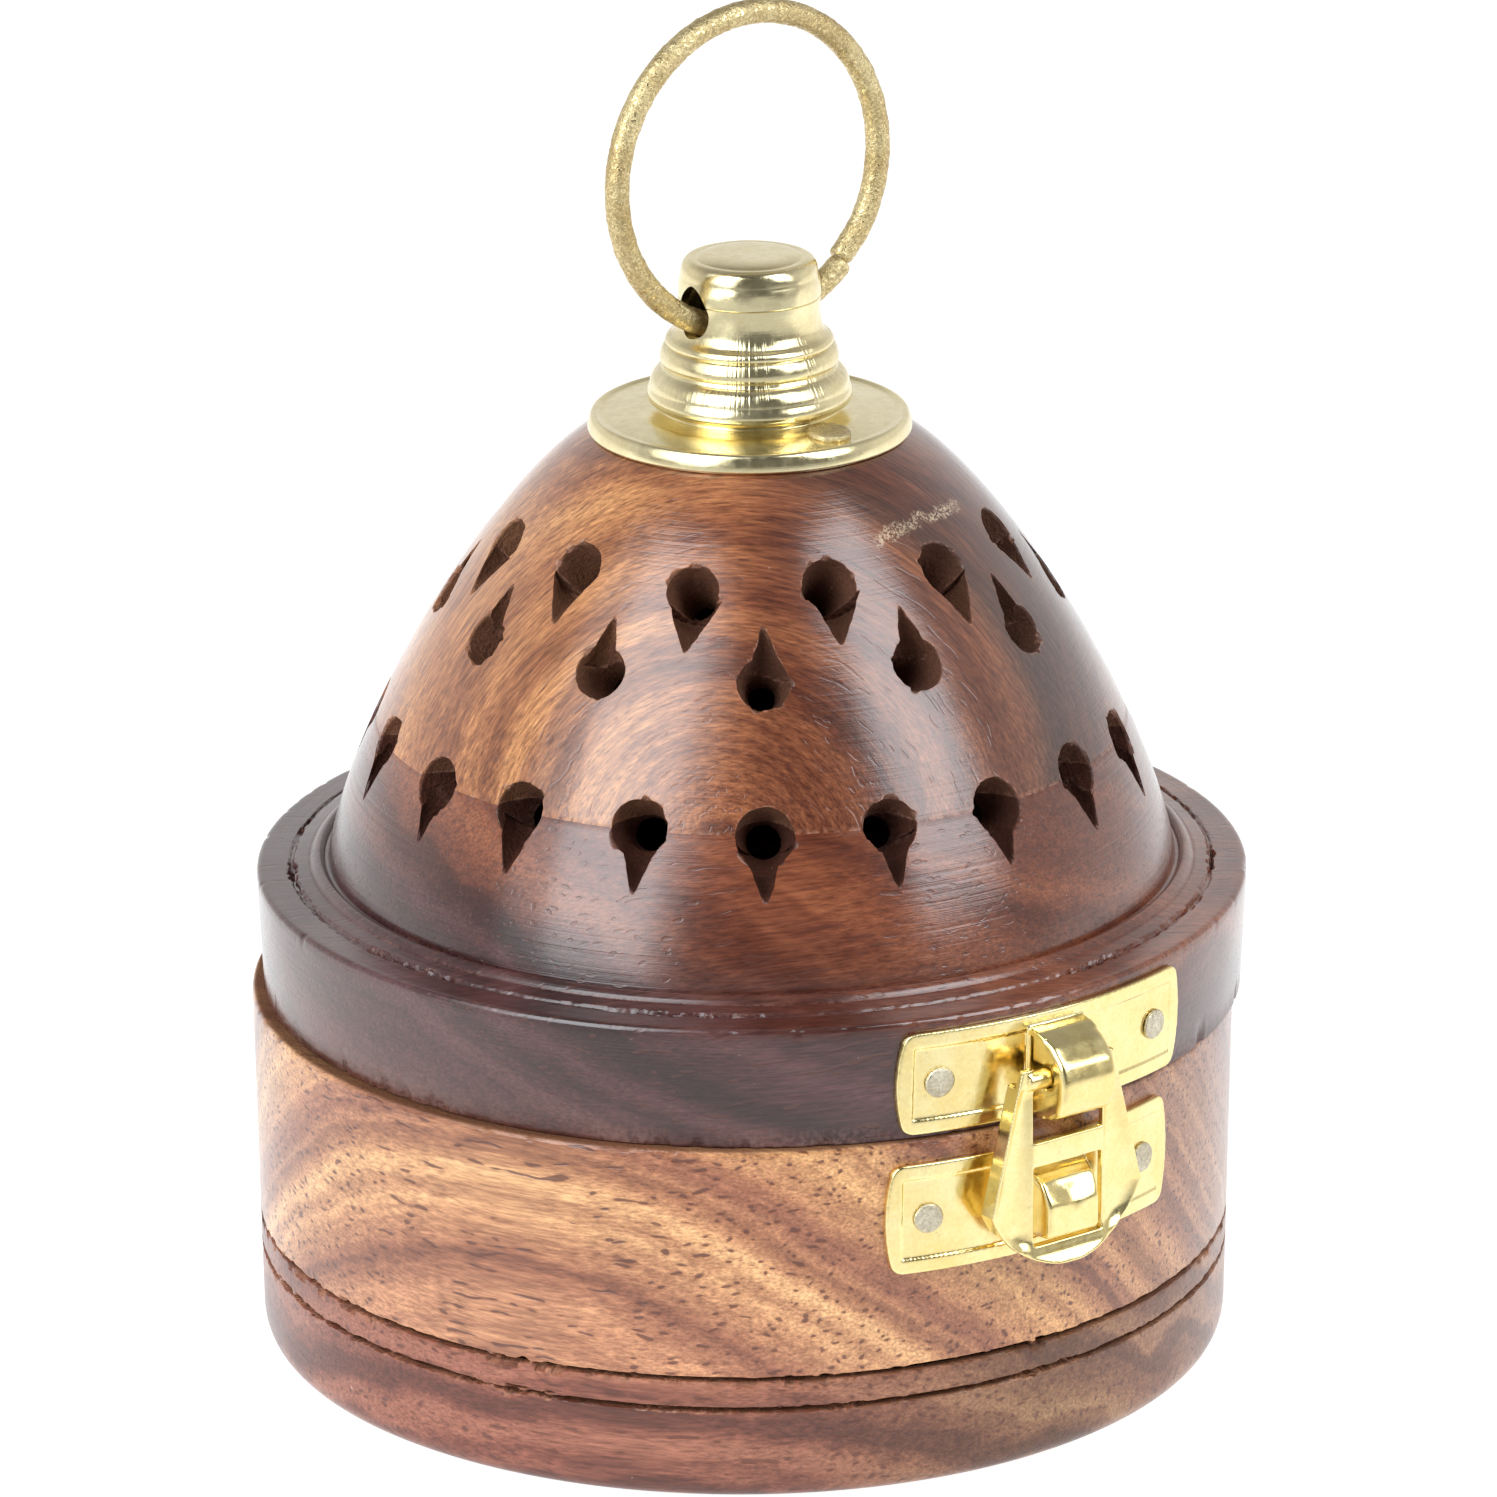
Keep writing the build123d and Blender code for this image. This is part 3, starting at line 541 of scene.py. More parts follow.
def wood(name, across, span, stops, width, bend, contrast, raw, grain=0, tilt=0, layers=(0, 0, 1),
         knot=None, scuff=None, fur=1.0, pore=1.0, polish=1.0, gloss=0.2, chips=0.0, centre=0.0, seed=0.0):
    """Polished rosewood; distances are in millimetres.

    across, span, stops: a direction, the distances along it where the colours start and end, and the colours.
    width, bend, contrast: width of a growth band, how far the bands wander, and how much they show.
    raw: colour of cut wood.
    grain, tilt, layers: direction of straight fibres in degrees from +X seen from above and above the
    horizon, and the normal of their growth layers.
    knot: a point that the grain curls round, in place of straight fibres and layers.
    scuff: the two ends of a pale scuff.
    fur, pore, polish, gloss: strength of fibres, vessels and lacquer, and the lacquer's roughness.
    chips: how pale the edges are where they are hardly torn. centre: X of the turning axis.
    """
    material, shader, place = new_material(name)
    if knot:
        board, layer, aside = curled_board(place, knot)
    else:
        board, layer = straight_board(place, grain, tilt, layers)
    board = vector("ADD", board, (seed * 37.0, seed * 53.0, seed * 71.0))

    # Broad colours across the board and growth bands, bent by the same slow warp
    warp = cloud(board, (0.018, 0.050, 0.050), 3.0, 0.55)
    warp = times(minus(warp, 0.5), bend * 2.0)
    colour = ramp(spread(plus(along(place, across), warp), *span), stops)
    layer = plus(layer, warp)
    tint = growth(board, plus(layer, seed * 40.0), width)
    colour = blend(contrast, colour, tint, "MULTIPLY")
    if knot:
        colour = blend(vein(layer, aside), colour, VEIN_COLOUR)

    # Fibres, vessels and the lines left by turning
    fibre = cloud(board, (0.28, 3.8, 3.8), 3.0, 0.70)
    colour = blend(min(0.75 * fur, 1.0), colour, ramp(fibre, FIBRE_TINTS), "MULTIPLY")
    pores, halo = vessels(board)
    colour = blend(0.35 * pore, colour, ramp(halo, VESSEL_TINTS), "MULTIPLY")
    colour = blend(times(pores, 0.8 * pore), colour, VESSEL_COLOUR)
    rings = turning_rings(place, centre)
    colour = blend(0.5, colour, ramp(rings, TURNING_TINTS), "MULTIPLY")

    # Cut wood, and edges that are torn in some patches, as the mesh marks them
    cut_in = marks(shader, "raw")
    worn = marks(shader, "edge")
    torn = times(worn, spread(cloud(place, 1.6, 3.0, 0.6), 0.42, 0.60))
    patch = spread(cloud(place, 0.10, 2.0, 0.5), 0.45, 0.58, chips, 1.0)
    torn = times(torn, patch)
    torn_colour = tuple(3.4 * c + 0.04 for c in raw)
    colour = blend(times(cut_in, 0.8), colour, raw)
    colour = blend(times(torn, 0.6), colour, torn_colour)

    # A scuff, and dust specks in the polish
    if scuff:
        colour = blend(times(scuffed(place, *scuff), 0.8), colour, SCUFF_COLOUR)
    specks = spread(cloud(place, 0.9, 4.0, 0.75), 0.715, 0.76)
    colour = blend(times(specks, 0.5), colour, DUST_COLOUR)

    # Lacquer, missing on cut wood and thin on edges
    blur = spread(cloud(place, 0.13, 3.0, 0.6), 0.3, 0.7, gloss + 0.10, gloss + 0.22)
    blur = plus(blur, times(cut_in, 0.45))
    coat = minus(1.0, calc("MAXIMUM", cut_in, times(worn, 0.5)))
    height = plus(times(rings, 0.045), times(fibre, 0.008))
    height = minus(height, times(pores, 0.02 * pore))
    rough_cut = times(times(cloud(place, 2.5, 4.0, 0.65), cut_in), 0.35)
    normal = bumped(plus(height, rough_cut))
    feed(shader, {
        "Base Color": colour, "Roughness": calc("MINIMUM", blur, 0.95), "Specular IOR Level": WOOD_SPECULAR,
        "Coat Weight": times(coat, polish), "Coat Roughness": gloss, "Coat IOR": LACQUER_IOR,
        "Normal": normal, "Coat Normal": normal,
    })
    return material


def wall_radius(height):
    return BODY_R - BASE_FLARE * (BASE_H - height) / BASE_H


def torn_grooves(grid, outer, seed):
    """Cuts the base's grooves into a grid of rings, with the ragged lips of torn grain."""
    radius = np.hypot(grid[..., 0], grid[..., 1])
    angle = np.arctan2(grid[..., 0], -grid[..., 1])
    around = np.stack([angle * BODY_R, grid[..., 2], 0 * angle], -1)
    ragged = noise(around, (0.9, 0.25, 1), seed) - 0.5
    tear = step_up(0.45, 0.85, noise(around, (9.0, 40, 1), seed + 1))
    depth = 0
    for height in GROOVES:
        wander = (noise(around, (14.0, 50, 1), seed + 2) - 0.5) * 0.10
        away = np.abs(grid[..., 2] - height - wander) + ragged * (0.12 + 0.55 * tear)
        depth = np.maximum(depth, GROOVE_DEPTH * (1 - step_up(GROOVE_HALF * 0.55, GROOVE_HALF * 1.25, away)))
    edge = outer(grid[..., 2])
    skin = radius > edge - 0.6
    return push(grid, -depth * skin)


def mark_raw(obj, outer, x=0.0, low=0.06, high=0.35):
    """Marks what lies deeper than the turned surface as raw wood."""
    points = points_of(obj)
    radius = np.hypot(points[:, 0] - x, points[:, 1])
    attribute(obj, "raw", step_up(low, high, outer(points[:, 2]) - radius))


def near(height, centre, reach):
    return abs(height - centre) < reach


def plinth():
    """The dark lower board, with the lower groove and half of the upper one."""
    side = wall_radius(FOOT_ROUND * 2)

    def spacing(radius, height):
        if radius < FOOT_R - 1:
            return 3.0
        return 0.11 if near(height, GROOVES[0], 0.7) or height > SPLIT_Z - 0.7 else 0.55

    outline = trace(
        (1.0, 0), (FOOT_R, 0), ((side - 0.35, FOOT_ROUND * 0.55), (side, FOOT_ROUND * 2)),
        (wall_radius(GROOVES[0]), GROOVES[0]), (wall_radius(SPLIT_Z), SPLIT_Z), (CAVITY_R, SPLIT_Z),
        (CAVITY_R, FLOOR_Z), (1.0, FLOOR_Z), spacing=spacing,
    )
    grid = torn_grooves(spun(outline, 1440), wall_radius, 3)
    obj = mesh_of("plinth_wood", [grid])
    shade(obj)
    mark_raw(obj, lambda z: np.where(z < 3, 0, wall_radius(z)))
    return obj


def base_wall():
    """The light upper block of the base."""

    def spacing(radius, height):
        if radius < CAVITY_R + 1 or (radius < BODY_R - 1 and height < BASE_H - 1):
            return 2.5
        return 0.11 if height < SPLIT_Z + 0.7 else 0.25 if height > BASE_H - 1 else 0.9

    outline = trace(
        (CAVITY_R, SPLIT_Z), (wall_radius(SPLIT_Z), SPLIT_Z),
        (wall_radius(BASE_H - RIM_ROUND), BASE_H - RIM_ROUND),
        ((BODY_R - 0.15, BASE_H - 0.15), (BODY_R - RIM_ROUND, BASE_H)),
        (CAVITY_R, BASE_H), (CAVITY_R, SPLIT_Z + 1), spacing=spacing,
    )
    grid = torn_grooves(spun(outline, 1440), wall_radius, 3)
    grid = nicked(grid, BODY_R, BASE_H, 0.0, 11)
    obj = mesh_of("base_wall_wood", [grid], closed_rows=True)
    cut(obj, mortise_cutter(BASE_H - 0.8, BASE_H + 2))
    shade(obj)
    mark_raw(obj, wall_radius)
    return obj


def nicked(grid, radius, height, x, seed):
    """Small knocks along a rim at a radius and a height."""
    around = np.arctan2(grid[..., 0] - x, -grid[..., 1]) * radius
    place = np.stack([around, grid[..., 2], 0 * around], -1)
    away = np.hypot(np.hypot(grid[..., 0] - x, grid[..., 1]) - radius, grid[..., 2] - height)
    knock = step_up(0.66, 0.95, noise(place, (1.6, 30, 1), seed)) * 0.24
    knock = knock + step_up(0.5, 1.0, noise(place, (0.5, 30, 1), seed + 1)) * 0.02
    return push(grid, -knock * (1 - step_up(0.1, 0.9, away)), x)


def mortise_cutter(low, high):
    """A block that opens the hinge's pocket, round the hinge leaf's own box."""
    leaf_low, leaf_high = box_mm("hinge_leaf_lid")
    gap = 0.1
    corners = [
        (leaf_low[0] - gap, leaf_low[1] - gap), (leaf_high[0] + gap, leaf_low[1] - gap),
        (leaf_high[0] + gap, leaf_high[1] + 5), (leaf_low[0] - gap, leaf_high[1] + 5),
    ]
    grid = np.array([[(x, y, z) for x, y in corners] for z in (low, high)], float)
    return mesh_of("mortise_cutter", [grid])


def lid_side(height):
    rise = LEDGE_Z - RIM_ROUND - LID_BOTTOM
    return LID_BOTTOM_R + (LID_TOP_R - LID_BOTTOM_R) * (height - LID_BOTTOM) / rise


DOME_HANDLES = ((DOME_FOOT_R - 2.6, DOME_FOOT_Z + 14.6), (FLAT_R + 9.3, FLAT_Z - 4.3), (FLAT_R, FLAT_Z))


def dome_outline():
    return trace((DOME_FOOT_R, DOME_FOOT_Z), DOME_HANDLES, spacing=even(0.35))


def dome_radius(height):
    line = dome_outline()
    return np.interp(height, line[:, 1], line[:, 0])


def dome_place(height):
    """Radius of the dome at a height, and its outward normal as (radial, vertical)."""
    line = dome_outline()
    i = int(np.clip(np.searchsorted(line[:, 1], height), 1, len(line) - 2))
    upward = line[i + 1] - line[i - 1]
    upward = upward / np.linalg.norm(upward)
    return float(dome_radius(height)), (upward[1], -upward[0])


def drop_frames():
    """Each drop's row, surface point, outward normal, tip direction and sideways direction.

    Every drop is a little off its place and size, as holes drilled by hand are.
    """
    hand = np.random.default_rng(77)
    for row in DROP_ROWS:
        for i in range(row["count"]):
            aside, along_dome, wider, longer = hand.uniform(-1, 1, 4)
            drop = dict(row, z=row["z"] + 0.4 * along_dome, radius=row["radius"] * (1 + 0.05 * wider),
                        length=row["length"] * (1 + 0.06 * longer))
            radius, (out, up) = dome_place(drop["z"])
            turn = radians(row["first"]) + tau / row["count"] * i + 0.4 * aside / radius
            radial = np.array([sin(turn), -cos(turn), 0])
            vertical = np.array([0, 0, 1.0])
            middle = radial * radius + vertical * drop["z"] + np.array([LID_X, 0, 0])
            normal = radial * out + vertical * up
            tip = (vertical * out - radial * up) * drop["tip"]
            yield drop, middle, normal, tip, np.cross(normal, tip)


def drill_grids():
    """The drilled holes, with chipped mouths."""
    around = np.linspace(0, tau, 88, endpoint=False)
    depths = np.array([3.0, 0.5, 0.15, 0.0, -0.12, -0.28, -0.5, -0.9, -1.8, -3.5, -6.0, -9.5, -14.0])
    grids = []
    for number, (row, middle, normal, tip, side) in enumerate(drop_frames()):
        key = np.stack(np.broadcast_arrays(
            np.cos(around) * 3 + number * 17.3, np.sin(around) * 3, np.minimum(depths[:, None], 0)), -1)
        radius = row["radius"] * (1 + 0.05 * (noise(key, 1.4, 21) - 0.5))
        radius = radius * np.interp(depths, (-5, -1), (0.5, 1))[:, None]
        chip = step_up(0.55, 0.85, noise(key, (0.9, 0.9, 2.0), 22)) * 0.42
        radius = radius + chip * step_up(-0.55, -0.05, depths)[:, None]
        radius = radius + 0.10 * (noise(key, 0.35, 23) - 0.5)
        grids.append(rings(middle, side, tip, around, radius) + depths[:, None, None] * normal)
    return grids


def carve_grids():
    """The pointed grooves that lead away from the holes, with splintered sides."""
    around = np.linspace(0, tau, 88, endpoint=False)
    steps = np.array([0.004, 0.06, 0.12, 0.2, 0.3, 0.4, 0.5, 0.6, 0.7, 0.8, 0.9, 1.0])
    grids = []
    for number, (row, middle, normal, tip, side) in enumerate(drop_frames()):
        reach = row["length"] / cos(DROP_TILT)
        part = steps / (1 + row["flare"] ** 2)
        end_r = reach * sqrt(row["flare"] ** 2 + sin(DROP_TILT) ** 2) / cos(DROP_TILT)
        sway = (noise(np.array([number * 9.1, 0, 0]), 1.0, 31) - 0.5) * 0.16
        axis = -tip * cos(DROP_TILT) - normal * sin(DROP_TILT) + side * sway
        lift = np.cross(axis, side)
        key = np.stack(np.broadcast_arrays(
            np.cos(around) * 2 + number * 11.7, np.sin(around) * 2, part[:, None] * reach), -1)
        radius = part[:, None] * end_r * (1 + 0.16 * (noise(key, (1.1, 1.1, 1.6), 32) - 0.5))
        radius = radius + 0.20 * (noise(key, (0.5, 0.5, 0.45), 33) - 0.5) * step_up(0.0, 0.25, part)[:, None]
        radius = np.maximum(radius, 0.01)
        centre = middle + tip * row["length"] + part[:, None, None] * reach * axis
        grids.append(rings(centre, side, lift, around, radius))
    return grids


def ledge_tear(grid):
    """The torn groove on the lid's ledge."""
    radius = np.hypot(grid[..., 0] - LID_X, grid[..., 1])
    around = np.arctan2(grid[..., 0] - LID_X, -grid[..., 1]) * LEDGE_STEP_R
    place = np.stack([around, radius, 0 * around], -1)
    tear = step_up(0.4, 0.8, noise(place, (7.0, 30, 1), 41))
    ragged = (noise(place, (0.7, 0.25, 1), 42) - 0.5) * (0.15 + 0.7 * tear)
    away = np.abs(radius - LEDGE_STEP_R) + ragged
    depth = (0.25 + 0.4 * tear) * (1 - step_up(0.10, 0.34, away))
    on_top = (grid[..., 2] > LEDGE_Z - 1) & (radius > DOME_FOOT_R + 1)
    grid = grid.copy()
    grid[..., 2] -= depth * on_top
    return grid


def lid_rim():
    """The lid's dark lower board: rim, ledge, bead and the foot of the dome."""

    def spacing(radius, height):
        if radius < LID_CAVITY_R + 0.2 or height < LID_BOTTOM + 0.01:
            return 2.2
        if height < LEDGE_Z - 1:
            return 0.9
        if height < DOME_FOOT_Z + 0.1:
            return 0.13 if near(radius, LEDGE_STEP_R, 0.7) else 0.3
        return 0.42

    dome_part = dome_outline()
    dome_part = dome_part[dome_part[:, 1] < GLUE_Z - 0.2]
    top = (float(dome_radius(GLUE_Z)), GLUE_Z)
    cavity = lid_cavity()
    inner_top = (float(np.interp(-GLUE_Z, -cavity[:, 1], cavity[:, 0])), GLUE_Z)
    outer = trace(
        (LID_CAVITY_R, LID_BOTTOM), (LID_BOTTOM_R, LID_BOTTOM), (LID_TOP_R, LEDGE_Z - RIM_ROUND),
        ((LID_TOP_R - 0.15, LEDGE_Z - 0.15), (LID_TOP_R - RIM_ROUND, LEDGE_Z)),
        (LEDGE_STEP_R + 0.25, LEDGE_Z + 0.1), (LEDGE_STEP_R - 0.25, LEDGE_Z + 0.25),
        (DOME_FOOT_R + 1.9, LEDGE_Z + 0.55),
        ((DOME_FOOT_R + 1.05, LEDGE_Z + 1.25), (DOME_FOOT_R + 0.35, LEDGE_Z + 0.75)),
        (DOME_FOOT_R, DOME_FOOT_Z), spacing=spacing,
    )
    across = trace(top, inner_top, spacing=even(1.4))
    inner = cavity[cavity[:, 1] < GLUE_Z - 0.5][::2]
    outline = np.concatenate([outer, dome_part[1:], across, inner])
    grid = ledge_tear(spun(outline, 1080, LID_X))
    grid = nicked(grid, LID_BOTTOM_R, LID_BOTTOM, LID_X, 51)
    grid = nicked(grid, LID_TOP_R, LEDGE_Z, LID_X, 54)
    obj = mesh_of("rim_wood", [grid], closed_rows=True)
    return pierced(obj, LID_BOTTOM)


def lid_cavity():
    """The lid's inner outline, from its top to its bottom."""
    shoulder = (LID_CAVITY_R, DOME_FOOT_Z - 3)
    return trace(
        (1.0, FLAT_Z - 7.5),
        ((FLAT_R + 4, FLAT_Z - 7.5), (LID_CAVITY_R - 2, DOME_FOOT_Z + 15.0), shoulder),
        (LID_CAVITY_R, LID_BOTTOM + 2), spacing=even(1.1),
    )


def lid_dome():
    """The lid's upper board."""
    line = dome_outline()
    cavity = lid_cavity()
    inner_low = (float(np.interp(-GLUE_Z, -cavity[:, 1], cavity[:, 0])), GLUE_Z)
    across = trace(inner_low, (float(dome_radius(GLUE_Z)), GLUE_Z), spacing=even(1.4))
    top = trace((FLAT_R, FLAT_Z), (1.0, FLAT_Z), spacing=even(2.0))
    upper = line[(line[:, 1] > GLUE_Z + 0.2) & (line[:, 1] < FLAT_Z - 0.05)]
    inner = cavity[cavity[:, 1] > GLUE_Z + 0.5]
    outline = np.concatenate([inner, across, upper, top])
    obj = mesh_of("dome_wood", [spun(outline, 840, LID_X)])
    return pierced(obj, GLUE_Z)


def pierced(obj, low):
    """Cuts the drops and the hinge pocket out of a board of the lid, then shades it."""
    cut(obj, mesh_of("drill_cutter", drill_grids()))
    cut(obj, mesh_of("carve_cutter", carve_grids()))
    if low < GLUE_Z:
        cut(obj, mortise_cutter(low - 1, low + 0.8))
    shade(obj)

    def outer(z):
        below = np.where(z > LEDGE_Z - 0.4, DOME_FOOT_R, lid_side(z))
        return np.where(z > DOME_FOOT_Z, dome_radius(z), below)

    mark_raw(obj, outer, LID_X)
    return obj


# ---- brass
def upright_lines(place, centre, low, high):
    """Height of the fine lines pulled along the profile between two heights, in some patches."""
    level = along(place, (0, 0, 1))
    rise = spread(level, low, low + 1.5)
    belt = times(rise, spread(level, high - 1.5, high, 1.0, 0.0))
    outward = stretched(vector("ADD", place, (-centre, 0, 0)), (1.0, 1.0, 0.0))
    outward = vector("NORMALIZE", outward)
    lines = spread(cloud(outward, 26.0, 2.0, 0.6), 0.42, 0.62)
    patch = cloud(place, (0.22, 0.22, 0.1), 1.0, 0.5)
    patch = spread(patch, 0.42, 0.56)
    return times(times(lines, belt), times(patch, 0.022))


def darker(colour, factor):
    return tuple(factor * c for c in colour)


def brass(name, colour, dark, blur, scratch=0.006, spots=0.0, spin=0.0, centre=0.0, grit=0.0, ribs=None):
    """Brass with uneven polish between two colours.

    spots adds tarnish, spin adds lathe lines round the turning axis at X centre, grit adds a cast,
    speckled skin, and ribs, a pair of heights, adds fine upright lines between them.
    """
    material, shader, place = new_material(name)
    cloudy = cloud(place, 0.22, 4.0, 0.6)
    fine = cloud(place, 2.6, 4.0, 0.7)
    tone = plus(times(cloudy, 0.6), times(fine, 0.4))
    base = blend(spread(tone, 0.38, 0.62), dark, colour)
    stain = spread(cloud(place, 0.55, 5.0, 0.75), 0.60, 0.72)
    base = blend(times(stain, spots), base, darker(dark, 0.42))
    haze = spread(cloud(place, 0.8, 4.0, 0.65), 0.35, 0.65, blur * 0.7, blur * 1.5)
    height = times(cloud(place, 5.0, 3.0, 0.6), scratch)
    if spin:
        lines = cloud(turning_place(place, centre), 4.5, 2.0, 0.6)
        height = plus(height, times(lines, spin))
    if grit:
        grains = spread(cloud(place, 3.2, 3.0, 0.7), 0.42, 0.60)
        base = blend(times(grains, grit), base, darker(dark, 0.45))
        haze = plus(haze, times(grains, 0.15))
        height = minus(height, times(grains, 0.03))
    if ribs:
        height = plus(height, upright_lines(place, centre, *ribs))
    feed(shader, {"Metallic": 1.0, "Base Color": base, "Roughness": haze, "Normal": bumped(height)})
    return material


def dished(points):
    """The hasp's arms with their edges turned towards the front."""
    x, z = np.abs(points[:, 0]), points[:, 2]
    slant = np.interp(z, (29.2, 43.7), (9.2, 5.6))
    bottom = np.sqrt(np.maximum(HASP_ARC_R**2 - (z - HASP_ARC_Z) ** 2, 0))
    outer = np.where(z < 29.2, bottom, slant)
    middle, half = (outer + HASP_OPENING) / 2, np.maximum((outer - HASP_OPENING) / 2, 0.3)
    dip = np.clip(1 - ((x - middle) / half) ** 2, 0, 1)
    dip = dip * step_up(24.5, 27.0, z) * (1 - step_up(40.5, 42.5, z))
    moved = points.copy()
    moved[:, 1] += 0.5 * dip
    return moved


def faceted(points):
    """The stud's top corner pressed back to a triangle that points down."""
    x, y, z = points.T
    wedge = np.clip((z - 28.0) - 0.75 * np.abs(x - STUD_X), 0, 2.0)
    front = 1 - step_up(CATCH_FRONT + 1.2, CATCH_FRONT + 2.4, y)
    here = (z < 33.5) & (np.abs(x - STUD_X) < 4.2)
    moved = points.copy()
    moved[:, 1] += 0.15 * wedge * front * here
    return moved


def rounder(obj, front, passes):
    """More rounding for the pressed-out part in front of a depth."""
    points = points_of(obj)
    chosen = np.nonzero(points[:, 1] < front)[0]
    if len(chosen):
        group = obj.vertex_groups.new(name="pressed")
        group.add(chosen.tolist(), 1.0, "REPLACE")
        baked(obj, ("SMOOTH", {"factor": 0.5, "iterations": passes, "vertex_group": "pressed"}))


def softened(name, node, voxel, passes, dents, reshaped=None, pressed=None):
    """A CAD node's shape with the rounded edges and the slight unevenness of pressed metal.

    voxel: size in mm of the cells that it is rebuilt from. passes: rounds of smoothing.
    dents: depth of the unevenness in mm. reshaped: a function that moves the points.
    pressed: how far behind the front the pressed-out part reaches, and its extra rounds of smoothing.
    """
    obj = link(name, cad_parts[node].data.copy())
    baked(obj, ("REMESH", {"mode": "VOXEL", "voxel_size": voxel * MM}),
          ("SMOOTH", {"factor": 0.5, "iterations": passes}))
    seed = len(name)
    points = points_of(obj)
    normals = np.zeros(len(points) * 3, np.float32)
    obj.data.vertices.foreach_get("normal", normals)
    amount = (noise(points, 1.1, seed) - 0.5) + 0.5 * (noise(points, 0.45, seed + 1) - 0.5)
    set_points(obj, points + normals.reshape(-1, 3) * (amount * dents)[:, None])
    if reshaped:
        set_points(obj, reshaped(points_of(obj)))
    low, high = box_mm(node)
    if pressed:
        reach, extra_passes = pressed
        rounder(obj, low[1] + reach, extra_passes)
    set_points(obj, np.clip(points_of(obj), low, high))
    obj.data.shade_smooth()
    return obj


def finial():
    """The spun cap, with its lathe steps, a scribed line, pulled slot edges and small dents."""
    flange_top, valley_r, valley_z, bell_foot = 96.7, 14.65, 96.2, 9.1
    outer = trace(
        (8.0, FLAT_Z), (FLAT_R - 0.05, FLAT_Z), (FLANGE_R - 0.15, FLAT_Z - 0.22),
        ((FLANGE_R, FLAT_Z), (FLANGE_R, FLAT_Z + 0.4)),
        ((FLANGE_R - 0.35, flange_top - 0.45), (FLANGE_R - 1.0, flange_top - 0.35)),
        ((valley_r + 0.2, valley_z + 0.02), (valley_r - 0.3, valley_z + 0.05)),
        (bell_foot + 2.2, flange_top - 0.1),
        ((bell_foot + 0.2, flange_top - 0.02), (bell_foot, flange_top + 0.5)),
        ((10.2, flange_top + 1.2), (10.02, flange_top + 2.5)), ((9.7, 100.3), (8.85, 101.05)), (8.7, 101.4),
        ((8.95, 101.95), (8.85, 102.7)), ((8.65, 103.2), (8.3, 103.5)), ((8.42, 103.95), (8.1, 104.4)),
        ((7.5, 104.9), (7.22, 105.8)), ((7.12, 107.0), (7.15, 108.4)), (7.06, 108.47), (7.15, 108.54),
        ((7.1, 109.6), (6.9, 110.6)), ((6.45, 112.0), (5.3, CROWN_Z - 0.35)),
        ((3.6, CROWN_Z), (0.4, CROWN_Z)), spacing=even(0.16),
    )
    inner = trace(
        (0.4, 111.6), (4.4, 111.6), ((5.7, 110.6), (6.25, 108.6)), (6.25, 104.6), (7.2, 103.4), (7.7, 101.2),
        ((8.7, 98.7), (8.0, flange_top)), (8.0, FLAT_Z + 0.3), spacing=even(0.5),
    )
    outline = np.concatenate([outer[::-1], inner[::-1]])
    grid = spun(outline, 400, LID_X)
    spread_out = noise(grid, (2.2, 2.2, 1.4), 61) - 0.5
    neck = step_up(104.5, 106.5, grid[..., 2])
    grid = push(grid, spread_out * 0.03 + spread_out * neck * 0.10, LID_X)
    obj = mesh_of("finial_cap", [grid])
    ring_hole(obj)
    shade(obj, 40)
    return obj


def ring_hole(obj):
    """The slot on both sides of the neck, punched and a little torn."""
    around = np.linspace(0, tau, 48, endpoint=False)
    middle_z, half_z, half_w = 107.65, 2.6, 2.45
    for side in (-1, 1):
        key = np.stack([np.cos(around) * 2, np.sin(around) * 2, 0 * around + side * 5], -1)
        wobble = 1 + 0.10 * (noise(key, 1.3, 71) - 0.5)
        pinch = 1 - 0.18 * step_up(-0.2, 1.0, np.sin(around))
        y = np.cos(around) * half_w * wobble * pinch
        z = middle_z + np.sin(around) * half_z * wobble
        rows = [np.stack([LID_X + side * (x + 0 * y), y, z], -1) for x in (2.0, 5.0, 6.0, 7.0, 9.0)]
        cut(obj, mesh_of("slot_cutter", [np.array(rows)]))


def carrying_ring():
    """The bent wire: rough skin, uneven bend and two ends that don't quite line up."""
    radius = (RING_HIGH[0] - RING_LOW[0]) / 2 - WIRE_R
    centre = (RING_LOW + RING_HIGH) / 2
    joint, gap = radians(-45), 0.06 / radius
    turn = np.linspace(joint + gap, joint + tau - gap, 900)
    around = np.linspace(0, tau, 40, endpoint=False)
    end = np.minimum(turn - joint, joint + tau - turn) * radius
    near_start = np.exp(-((turn - joint) * radius / 3.5) ** 2)
    near_end = np.exp(-((joint + tau - turn) * radius / 3.5) ** 2)
    bend = radius - 0.10 - near_start * 0.20 + near_end * 0.06
    sideways = near_start * 0.16 - near_end * 0.16
    thick = WIRE_R * (0.97 - 0.16 * np.exp(-((end / 0.35) ** 2)))
    key = np.stack(np.broadcast_arrays(
        turn[:, None] * radius, np.cos(around) * WIRE_R, np.sin(around) * WIRE_R), -1)
    skin = (noise(key, 0.55, 81) - 0.5) * 0.10 + (noise(key, 0.22, 82) - 0.5) * 0.06
    skin = np.minimum(thick[:, None] + skin - 0.03, WIRE_R)
    out = bend[:, None] + np.cos(around) * skin
    x = centre[0] + np.cos(turn)[:, None] * out
    z = centre[2] + np.sin(turn)[:, None] * out
    y = sideways[:, None] + np.sin(around) * skin
    obj = mesh_of("ring_wire", [np.stack([x, np.clip(y, -WIRE_R, WIRE_R), z], -1)])
    shade(obj, 50)
    return obj


